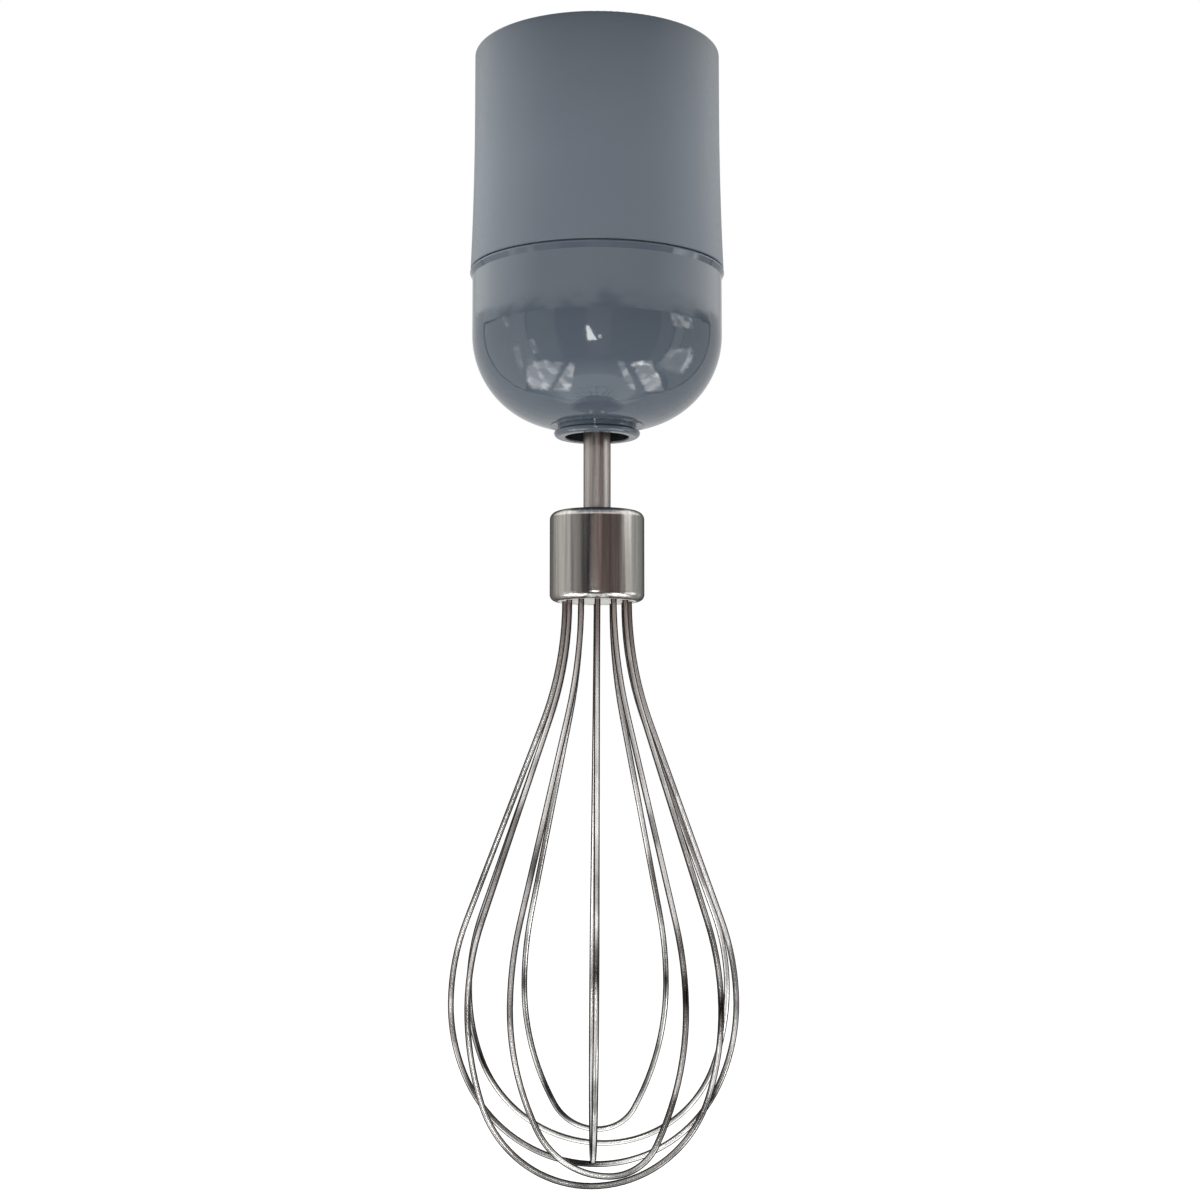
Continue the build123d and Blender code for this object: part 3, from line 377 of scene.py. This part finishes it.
# %% [markdown]
# The dark room goes round the front from side to side and closes under the dome. A black trim runs
# along its rim, and its top rises and falls a little, as a ruled edge would look too clean. Above it
# hang pale lights that fade out sideways, and below lie a card and the table.

# %% The room and the lights round it
ROOM_TOP = 13.5
ROOM_SIDE = 123.0
ROOM_OPENS = -57.0
ROOM_SHUTS = -80.0
LOWEST = -89.9
TRIM_WIDTH = 3.0
TRIM_HEIGHT = TRIM_WIDTH / 2
# each row: degrees, waves to a side in radians, start in radians
TOP_WAVES = [(0.3, 9, 0.6), (0.2, 23, 0.0)]


def room_side(elevation, narrower=0.0):
    """Azimuth at which the room ends for each elevation: upright sides down to ROOM_OPENS, then
    further back until the room closes under the dome at ROOM_SHUTS."""
    below = np.clip((ROOM_OPENS - elevation) / (ROOM_OPENS - ROOM_SHUTS), 0, 1)
    return (ROOM_SIDE - narrower) * (1 - below) + 180 * below


def room_part(narrower, shorter):
    """Directions of the room's inside, this many degrees narrower on each side and shorter."""
    share, rise = both(180, 60, (-1, 1), (0, 1))
    top = ROOM_TOP - shorter
    for height, waves, start in TOP_WAVES:
        top = top + height * np.sin(waves * share + start)
    elevation = LOWEST + (top - LOWEST) * rise
    return direction(share * room_side(elevation, narrower), elevation)


screen("room_trim", room_part(0.0, 0.0), SCREEN_R, (1, 1, 1), 0.0)
screen("dark_room", room_part(TRIM_WIDTH, TRIM_HEIGHT), ROOM_R, (0.9, 0.95, 1.0), 0.06)
# each row: name, left and right azimuth, low and high elevation, radius, colour, strength
LIGHTS_ABOVE = [
    ("front_light", -112, 112, ROOM_TOP - 3, 28, HIGH_R, (1.0, 0.97, 0.99), 1.43),
    ("side_light_left", -150, -50, ROOM_TOP + 0.5, 46, CARD_R, (0.96, 1.0, 0.99), 2.1),
    ("side_light_right", 50, 150, ROOM_TOP + 0.5, 46, CARD_R, (0.98, 1.0, 1.0), 2.0),
    ("ceiling", -100, 100, 28, 89, HIGH_R, (0.80, 0.90, 1.0), 0.6),
]
for name, left, right, low, high, radius, colour, strength in LIGHTS_ABOVE:
    azimuth, elevation = both(24, 16, (left, right), (low, high))
    screen(name, direction(azimuth, elevation), radius, colour, strength, "soft")
# each row: name, low and high elevation, strength, kind
LIGHTS_BELOW = [("low_card", -66, -43, 1.0, "sunk"), ("table", LOWEST, -66, 1.6, "plain")]
BELOW_COLOUR = (0.92, 1.0, 1.0)
for name, low, high, strength, kind in LIGHTS_BELOW:
    share, elevation = both(90, 30, (-1, 1), (low, high))
    directions = direction(share * room_side(elevation, TRIM_WIDTH), elevation)
    screen(name, directions, CARD_R, BELOW_COLOUR, strength, kind)
print("the room reaches up to", ROOM_TOP, "degrees and round to", round(float(room_side(0.0)), 1), "degrees")

# %% [markdown]
# The ferrule and the shaft mirror this row of upright screens as bands of brown, grey and beige.
# A last one stands behind the object. Only the outermost edges mirror it, and as it is a little darker
# than white, they keep a line against the white background.

# %% Upright screens in the room
# each row: name, left and right azimuth, colour
UPRIGHTS = [
    ("wall_left", -120.5, -66, (0.86, 0.85, 0.82)),
    ("door_left", -64, -37, (0.42, 0.42, 0.42)),
    ("dark_left", -36, -10, (0.04, 0.04, 0.045)),
    ("middle", -9, 12, (0.36, 0.28, 0.26)),
    ("dark_right", 14, 55, (0.125, 0.088, 0.083)),
    ("door_right", 57, 71, (0.38, 0.35, 0.32)),
    ("lit_edge", 73, 83, (0.88, 0.86, 0.82)),
    ("wall_right", 84, 120.5, (0.56, 0.58, 0.56)),
]
UPRIGHT_LOW = -43
BEHIND_COLOUR = (0.70, 0.71, 0.71)
BEHIND_HIGH = 60

for name, left, right, colour in UPRIGHTS:
    azimuth, elevation = both(12, 12, (left, right), (UPRIGHT_LOW, ROOM_TOP - TRIM_HEIGHT))
    screen(name, direction(azimuth, elevation), UPRIGHT_R, colour, 1.0)
azimuth, elevation = both(40, 40, (ROOM_SIDE + 1, 359 - ROOM_SIDE), (-BEHIND_HIGH, BEHIND_HIGH))
screen("behind", direction(azimuth, elevation), BEHIND_R, BEHIND_COLOUR, 1.0)
print("upright screens:", len(UPRIGHTS) + 1)

# %% [markdown]
# The dome also mirrors a few small bright things: crumpled sheets low at both sides, each with a dark
# gap across it, some folds, and the lamp beside the camera.
# Plastic mirrors only a twenty-fifth of the light, so they have to be bright.

# %% Bright patches in the room
# each row: name, azimuth and elevation of the top left, top right, low left and low right corner,
# strength, facets a metre, with 0 for none
PATCHES = [
    ("sheet_left", (-74, -30), (-35, -46), (-116, -44), (-112, -60), 9.0, 20),
    ("sheet_left_inner", (-34, -48), (-25, -49), (-110, -61), (-107, -74), 7.0, 24),
    ("sheet_right", (36, -45), (62, -38), (117, -59), (122, -46), 9.0, 20),
    ("sheet_right_inner", (22, -47), (31, -46), (100, -70), (113, -64), 4.5, 24),
    ("fold_right", (72, -20), (102, -8), (70, -42), (112, -32), 3.4, 12),
    ("fold_high_right", (66, 12), (94, 13.5), (68, -1), (96, 3), 2.6, 30),
    ("fold_left", (-84, -15), (-74, -15), (-98, -36), (-88, -36), 3.0, 14),
    ("fold_far_left", (-65, -13), (-58, -14), (-67, -30), (-60, -30), 2.6, 18),
    ("fold_high_left", (-95, 13), (-90, 13), (-86, 3), (-82, 3), 2.2, 30),
    ("lamp_by_camera", (-9, -8), (-7.2, -8), (-8.5, -24.5), (0.5, -24.5), 14.0, 0),
    ("lamp_knob", (2, -18.5), (4.5, -18.5), (2, -22.5), (4.5, -22.5), 8.0, 0),
]
for name, top_left, top_right, low_left, low_right, strength, per_metre in PATCHES:
    across, down = (share[..., None] for share in both(24, 24))
    corners = [direction(*corner) for corner in (top_left, top_right, low_left, low_right)]
    upper = corners[0] * (1 - across) + corners[1] * across
    lower = corners[2] * (1 - across) + corners[3] * across
    mixed = upper * (1 - down) + lower * down
    mixed = mixed / np.linalg.norm(mixed, axis=-1, keepdims=True)
    kind = "crumpled" if per_metre else "plain"
    screen(name, mixed, PATCH_R, (1, 1, 1), strength, kind, per_metre)
print("bright patches:", len(PATCHES))

# %% [markdown]
# In a finish, numbers that hold all over a surface sit on the shader itself.
# What varies over the surface is a noise on the object's own coordinates, in metres, so it stays at
# its real size and moves with the piece. A painted picture could do the same, but would blur close up.


# %% Helpers for finishes
def new_finish(name, colour, roughness, metallic=0.0):
    """Material with its shader's plain values set; returns the material, its tree and the shader."""
    finish = bpy.data.materials.new(name)
    finish.use_nodes = True
    shader = finish.node_tree.nodes["Principled BSDF"]
    shader.inputs["Base Color"].default_value = (*colour, 1)
    shader.inputs["Roughness"].default_value = roughness
    shader.inputs["Metallic"].default_value = metallic
    return finish, finish.node_tree, shader


def noise(tree, per_metre, detail=2.0, stretch=(1, 1, 1)):
    """Noise between 0 and 1 with this many waves a metre; stretch below 1 draws it out along an axis."""
    place = tree.nodes.new("ShaderNodeTexCoord")
    scaled = tree.nodes.new("ShaderNodeMapping")
    scaled.inputs["Scale"].default_value = stretch
    waves = tree.nodes.new("ShaderNodeTexNoise")
    waves.inputs["Scale"].default_value = per_metre
    waves.inputs["Detail"].default_value = detail
    tree.links.new(place.outputs["Object"], scaled.inputs["Vector"])
    tree.links.new(scaled.outputs["Vector"], waves.inputs["Vector"])
    return waves.outputs["Fac"]


def between(tree, factor, low, high):
    """Number that goes from low to high as the factor goes from 0.3 to 0.7, where most noise lies."""
    span = tree.nodes.new("ShaderNodeMapRange")
    span.inputs["From Min"].default_value = 0.3
    span.inputs["From Max"].default_value = 0.7
    span.inputs["To Min"].default_value = low
    span.inputs["To Max"].default_value = high
    tree.links.new(factor, span.inputs["Value"])
    return span.outputs["Result"]


def blend(tree, share, first, second):
    """Colour that goes from the first to the second, each a colour or a socket, as the share grows."""
    mix = tree.nodes.new("ShaderNodeMix")
    mix.data_type = "RGBA"
    for socket, colour in (("A", first), ("B", second)):
        if isinstance(colour, bpy.types.NodeSocket):
            tree.links.new(colour, mix.inputs[socket])
        else:
            mix.inputs[socket].default_value = (*colour, 1)
    tree.links.new(share, mix.inputs["Factor"])
    return mix.outputs["Result"]


def tint(tree, shader, factor, first, second):
    """Base colour that goes from the first colour to the second with the factor."""
    tree.links.new(blend(tree, between(tree, factor, 0, 1), first, second), shader.inputs["Base Color"])


def relief(tree, shader, height, metres):
    """Small bumps: the height, 0 to 1, stands for this many metres."""
    bump = tree.nodes.new("ShaderNodeBump")
    bump.inputs["Strength"].default_value = 1.0
    bump.inputs["Distance"].default_value = metres
    tree.links.new(height, bump.inputs["Height"])
    tree.links.new(bump.outputs["Normal"], shader.inputs["Normal"])


def wear(names, finish):
    """Gives these solids the finish in place of the plain one that they came with."""
    for name in names:
        materials = nodes[name].data.materials
        if len(materials) == 0:
            materials.append(finish)
        for slot in range(len(materials)):
            materials[slot] = finish


# %% [markdown]
# The cup is moulded plastic with a fine spark-eroded grain, which makes it satin: it mirrors nothing
# clearly, but its edges still turn pale where they catch the white behind them.
# Towards the rim the cup is in shade. A lamp could be kept off it there, but then it would be so from one
# side only. Here the shade is painted: the colour itself darkens with the height below the rim.

# %% Satin plastic of the cup
SATIN_SLATE = (0.118, 0.140, 0.166)
SATIN_PAINTED_RIM_SHADE = (0.040, 0.050, 0.063)
SATIN_ROUGHNESS = (0.31, 0.37)
SATIN_GRAIN = 0.000012
RIM_SHADE_H = 0.030
RIM_SHADE_POWER = 0.35

satin, tree, shader = new_finish("satin_slate_plastic", SATIN_SLATE, sum(SATIN_ROUGHNESS) / 2)
shader.inputs["IOR"].default_value = 1.42
place = tree.nodes.new("ShaderNodeTexCoord")
height = tree.nodes.new("ShaderNodeSeparateXYZ")
tree.links.new(place.outputs["Object"], height.inputs[0])
rim_height = (nodes["upper_casing"].matrix_world.inverted() @ Vector((0, 0, RIM_Z))).z
below_rim = maths(tree, "SUBTRACT", rim_height, height.outputs[2])
share = maths(tree, "POWER", maths(tree, "DIVIDE", below_rim, RIM_SHADE_H, True), RIM_SHADE_POWER)
cloudy = between(tree, noise(tree, 60, 3), -0.06, 0.0)
# painted shade: the colour darkens towards the rim, and a noise makes it uneven
shaded = blend(tree, maths(tree, "ADD", share, cloudy), SATIN_PAINTED_RIM_SHADE, SATIN_SLATE)
tree.links.new(shaded, shader.inputs["Base Color"])
tree.links.new(between(tree, noise(tree, 900, 2), *SATIN_ROUGHNESS), shader.inputs["Roughness"])
relief(tree, shader, noise(tree, 4200, 1), SATIN_GRAIN)
wear(["upper_casing"], satin)
print("satin plastic on the cup")

# %% [markdown]
# The dome comes from a polished mould. The same plastic is glossy there, and it mirrors the room.
# A perfect mirror would look like glass, so slow waves of a few hundredths of a millimetre bend the
# reflections a little, as on every moulded part.
# Inside the shaft's hole the plastic gets painted shade, a darker colour where little light gets in; its
# distance from the axis tells where.

# %% Glossy plastic of the dome
GLOSS_DEEP = (0.074, 0.092, 0.115)
GLOSS_PALE = (0.080, 0.098, 0.122)
GLOSS_ROUGHNESS = 0.07
GLOSS_WAVES = 0.00005
HOLE_PAINTED_SHADE = (0.018, 0.019, 0.020)
HOLE_EDGE = 0.0005

gloss, tree, shader = new_finish("gloss_slate_plastic", GLOSS_PALE, GLOSS_ROUGHNESS)
shader.inputs["IOR"].default_value = 1.5
place = tree.nodes.new("ShaderNodeTexCoord")
flat = tree.nodes.new("ShaderNodeSeparateXYZ")
tree.links.new(place.outputs["Object"], flat.inputs[0])
squared = maths(tree, "MULTIPLY", flat.outputs[1], flat.outputs[1])
squared = maths(tree, "MULTIPLY_ADD", flat.outputs[0], flat.outputs[0], third=squared)
out_of_hole = maths(tree, "SUBTRACT", maths(tree, "SQRT", squared), HOLE_R)
unshaded = maths(tree, "DIVIDE", out_of_hole, HOLE_EDGE, True)
slate = blend(tree, between(tree, noise(tree, 45, 2), 0, 1), GLOSS_DEEP, GLOSS_PALE)
# painted shade inside the shaft's hole, full colour outside it
tree.links.new(blend(tree, unshaded, HOLE_PAINTED_SHADE, slate), shader.inputs["Base Color"])
relief(tree, shader, noise(tree, 110, 2), GLOSS_WAVES)
wear(["lower_casing"], gloss)
print("glossy plastic on the dome")

# %% [markdown]
# Inside the socket there is dark reinforced plastic, and the drive parts are natural, milky plastic
# that needs no grease. The screws are zinc plated, and the bushes are bronze that holds oil.
# Each of these could get a recipe of its own, but close by they all look alike in kind: specks of a
# darker and a paler shade and a fine grain. So one recipe makes them all from a row of numbers.

# %% Finishes inside
# each row: name, darker and paler shade, roughness, metallic, waves a metre and detail of the specks
# and of the grain, height of the grain in metres, solids that wear it
SPECKLED = [
    ("dark_reinforced_plastic", (0.024, 0.025, 0.028), (0.045, 0.046, 0.049), 0.5, 0.0,
     (1500, 3), (2500, 2), 0.00001, ["gearbox_cover", "gear_housing", "planet_carrier"]),
    ("milky_drive_plastic", (0.68, 0.66, 0.60), (0.78, 0.76, 0.71), 0.38, 0.0,
     (180, 3), (900, 2), 0.00001,
     ["drive_coupling", "ring_gear", "planet_gear_1", "planet_gear_2", "planet_gear_3"]),
    ("pale_plug_plastic", (0.62, 0.61, 0.56), (0.78, 0.77, 0.73), 0.5, 0.0,
     (700, 3), (1800, 2), 0.00002, ["wire_plug"]),
    ("black_seal_rubber", (0.010, 0.010, 0.010), (0.018, 0.018, 0.018), 0.7, 0.0,
     (1200, 3), (3000, 2), 0.00001, ["shaft_seal"]),
    ("zinc_screw_steel", (0.54, 0.55, 0.56), (0.68, 0.69, 0.70), 0.3, 1.0,
     (1200, 3), (2600, 2), 0.00001, ["casing_screws"]),
    ("oily_bush_bronze", (0.30, 0.19, 0.09), (0.50, 0.33, 0.17), 0.35, 1.0,
     (2200, 3), (3500, 3), 0.00002, ["input_bush", "upper_bush", "lower_bush"]),
]
for name, darker, paler, roughness, metallic, specks, grain, grain_height, wearers in SPECKLED:
    finish, tree, shader = new_finish(name, paler, roughness, metallic)
    tint(tree, shader, noise(tree, *specks), darker, paler)
    relief(tree, shader, noise(tree, *grain), grain_height)
    wear(wearers, finish)
print("finishes inside:", len(SPECKLED))

# %% [markdown]
# Ferrule and shaft are stainless steel. The ferrule was drawn from sheet and polished, and the shaft was
# drawn as a rod and lightly ground, so the ferrule is smoother. Drawing leaves faint marks along both.
# An image of scratches would repeat; noise drawn out along the axis never does.
# The small steel parts of the gearbox wear the shaft's finish.

# %% Steels
EDGE_TINT = (0.15, 0.15, 0.15, 1)
LONG_MARKS = (1, 1, 0.02)
LONG_WAVES = (1, 1, 0.05)
FERRULE_DEEP = (0.33, 0.31, 0.295)
FERRULE_PALE = (0.52, 0.50, 0.475)
FERRULE_ROUGHNESS = (0.16, 0.25)
FERRULE_RELIEF = 0.000006
SHAFT_DEEP = (0.34, 0.31, 0.295)
SHAFT_PALE = (0.48, 0.44, 0.42)
SHAFT_ROUGHNESS = (0.30, 0.42)
SHAFT_RELIEF = 0.000004

drawn, tree, shader = new_finish("polished_ferrule_steel", FERRULE_PALE, FERRULE_ROUGHNESS[0], 1.0)
streaks = noise(tree, 1300, 4, LONG_MARKS)
shader.inputs["Specular Tint"].default_value = EDGE_TINT
tint(tree, shader, streaks, FERRULE_DEEP, FERRULE_PALE)
tree.links.new(between(tree, streaks, *FERRULE_ROUGHNESS), shader.inputs["Roughness"])
relief(tree, shader, noise(tree, 1300, 2, LONG_WAVES), FERRULE_RELIEF)
wear(["ferrule"], drawn)

ground, tree, shader = new_finish("ground_shaft_steel", SHAFT_PALE, SHAFT_ROUGHNESS[0], 1.0)
marks = noise(tree, 2600, 3, LONG_MARKS)
shader.inputs["Specular Tint"].default_value = EDGE_TINT
tint(tree, shader, marks, SHAFT_DEEP, SHAFT_PALE)
tree.links.new(between(tree, marks, *SHAFT_ROUGHNESS), shader.inputs["Roughness"])
relief(tree, shader, marks, SHAFT_RELIEF)
wear(["whisk_shaft", "input_shaft", "sun_pinion", "planet_pins", "thrust_washer", "retaining_ring"], ground)
print("steel on the ferrule and the shafts")

# %% [markdown]
# Wire is straightened between two pairs of steel rollers and then bent flat into its loop. Its look is
# painted: four bands of painted highlight run along it, broad ones on the two faces of the loop and narrow
# ones on the inner and outer side, with painted shade between them. So it has dark outlines and a bright
# middle. Painting that by hand would follow one view only. A loop lies in a plane, and the distance from
# that plane is the same all along the wire, even round the bends, so it tells faces from sides.
# The plane comes from the points of the loop: it is the one that they lie closest to.
# The loop that crosses the others shows its side to the camera, and there its side bands are broad.
# Near the ferrule the painted highlight is even and brown; further down it comes in patches, with fine lines.

# %% Drawn wire, with painted highlight on its faces and painted shade at its sides
# colours of the wire's painted shade and of its brown and pale painted highlight
WIRE_PAINTED_SHADE = (0.030, 0.028, 0.026)
WIRE_BROWN_HIGHLIGHT = (0.24, 0.19, 0.17)
WIRE_PAINTED_HIGHLIGHT = (0.86, 0.84, 0.81)
BROWN_LENGTH = 0.034
HIGHLIGHT_METALLIC = 0.45
WIRE_ROUGHNESS = (0.16, 0.26)
WIRE_RELIEF = 0.000003
EVEN_AT_TOP = 1.35
EVEN_LENGTH = 0.06
HIGHLIGHT_PATCHES = (0.0, 1.45)
HIGHLIGHT_LINES = (0.7, 1.15)
LINES_ACROSS = 2.2
LINES_ALONG = (26, 26, 26)
# distances from the loop's plane, in wire radii, at which a band of painted highlight begins and is full:
# first for the bands on the faces, then for those on the sides
LOOP_HIGHLIGHT_BANDS = ((0.74, 0.92), (0.38, 0.18))
CROSS_HIGHLIGHT_BANDS = ((0.90, 0.98), (0.66, 0.36))


def flat_of(piece):
    """Direction across a loop's plane, the plane's distance from the origin and the wire's radius."""
    count = len(piece.data.vertices)
    points = np.zeros(count * 3)
    piece.data.vertices.foreach_get("co", points)
    points = points.reshape(count, 3)
    middle = points.mean(axis=0)
    across = np.linalg.svd(points - middle, full_matrices=False)[2][2]
    heights = (points - middle) @ across
    offset = (heights.max() + heights.min()) / 2
    return across, float(middle @ across + offset), float((heights.max() - heights.min()) / 2)


def highlight_band(tree, off, dull, bright):
    """Share, 0 to 1, of painted highlight: none at the first distance from the loop's plane, all at the
    second.
    """
    band_share = tree.nodes.new("ShaderNodeMapRange")
    band_share.interpolation_type = "SMOOTHSTEP"
    band_share.inputs["From Min"].default_value = dull
    band_share.inputs["From Max"].default_value = bright
    tree.links.new(off, band_share.inputs["Value"])
    return band_share.outputs["Result"]


def fine_lines(tree, place, off):
    """Noise in lines along the wire: it changes quickly across a band of painted highlight and slowly along
    it.
    """
    line = tree.nodes.new("ShaderNodeCombineXYZ")
    tree.links.new(maths(tree, "MULTIPLY", off, LINES_ACROSS), line.inputs[0])
    far = tree.nodes.new("ShaderNodeVectorMath")
    far.operation = "MULTIPLY_ADD"
    far.inputs[1].default_value = LINES_ALONG
    tree.links.new(place.outputs["Object"], far.inputs[0])
    tree.links.new(line.outputs[0], far.inputs[2])
    fine = tree.nodes.new("ShaderNodeTexNoise")
    fine.inputs["Scale"].default_value = 1.0
    tree.links.new(far.outputs[0], fine.inputs["Vector"])
    return fine.outputs["Fac"]


def wire_finish(name, faces, sides):
    """Steel for one loop, with painted highlight on its faces and painted shade at its sides; returns the
    wire's radius.
    """
    across, distance, wire_r = flat_of(nodes[name])
    finish, tree, shader = new_finish("steel_of_" + name, WIRE_PAINTED_HIGHLIGHT, WIRE_ROUGHNESS[0], 1.0)
    shader.inputs["Specular Tint"].default_value = EDGE_TINT
    place = tree.nodes.new("ShaderNodeTexCoord")
    height = tree.nodes.new("ShaderNodeVectorMath")
    height.operation = "DOT_PRODUCT"
    height.inputs[1].default_value = across
    tree.links.new(place.outputs["Object"], height.inputs[0])
    off = maths(tree, "DIVIDE", maths(tree, "SUBTRACT", height.outputs["Value"], distance), wire_r)
    away = maths(tree, "ABSOLUTE", off)
    highlighted = maths(tree, "MAXIMUM", highlight_band(tree, away, *faces), highlight_band(tree, away, *sides))
    low = tree.nodes.new("ShaderNodeSeparateXYZ")
    tree.links.new(place.outputs["Object"], low.inputs[0])
    down = maths(tree, "SUBTRACT", PLUG_FACE_Z, low.outputs[2])
    evenly = maths(tree, "SUBTRACT", EVEN_AT_TOP, maths(tree, "DIVIDE", down, EVEN_LENGTH), True)
    patches = maths(tree, "MAXIMUM", between(tree, noise(tree, 62, 2), *HIGHLIGHT_PATCHES), evenly)
    stripes = between(tree, fine_lines(tree, place, off), *HIGHLIGHT_LINES)
    share = maths(tree, "MULTIPLY", maths(tree, "MULTIPLY", highlighted, patches), stripes, True)
    unshaded = blend(tree, maths(tree, "DIVIDE", down, BROWN_LENGTH, True), WIRE_BROWN_HIGHLIGHT, WIRE_PAINTED_HIGHLIGHT)
    # painted shade at the sides, painted highlight on the faces: brown near the ferrule, pale further down
    tree.links.new(blend(tree, share, WIRE_PAINTED_SHADE, unshaded), shader.inputs["Base Color"])
    metal = maths(tree, "MULTIPLY_ADD", share, HIGHLIGHT_METALLIC - 1, third=1.0)
    tree.links.new(metal, shader.inputs["Metallic"])
    tree.links.new(between(tree, noise(tree, 300, 2), *WIRE_ROUGHNESS), shader.inputs["Roughness"])
    relief(tree, shader, noise(tree, 260, 1), WIRE_RELIEF)
    wear([name], finish)
    return wire_r


for name in nodes:
    if name.startswith("wire_loop"):
        highlight_bands = CROSS_HIGHLIGHT_BANDS if name == "wire_loop_cross" else LOOP_HIGHLIGHT_BANDS
        wire_r = wire_finish(name, *highlight_bands)
        print(f"{name}: wire {2000 * wire_r:.2f} mm thick")
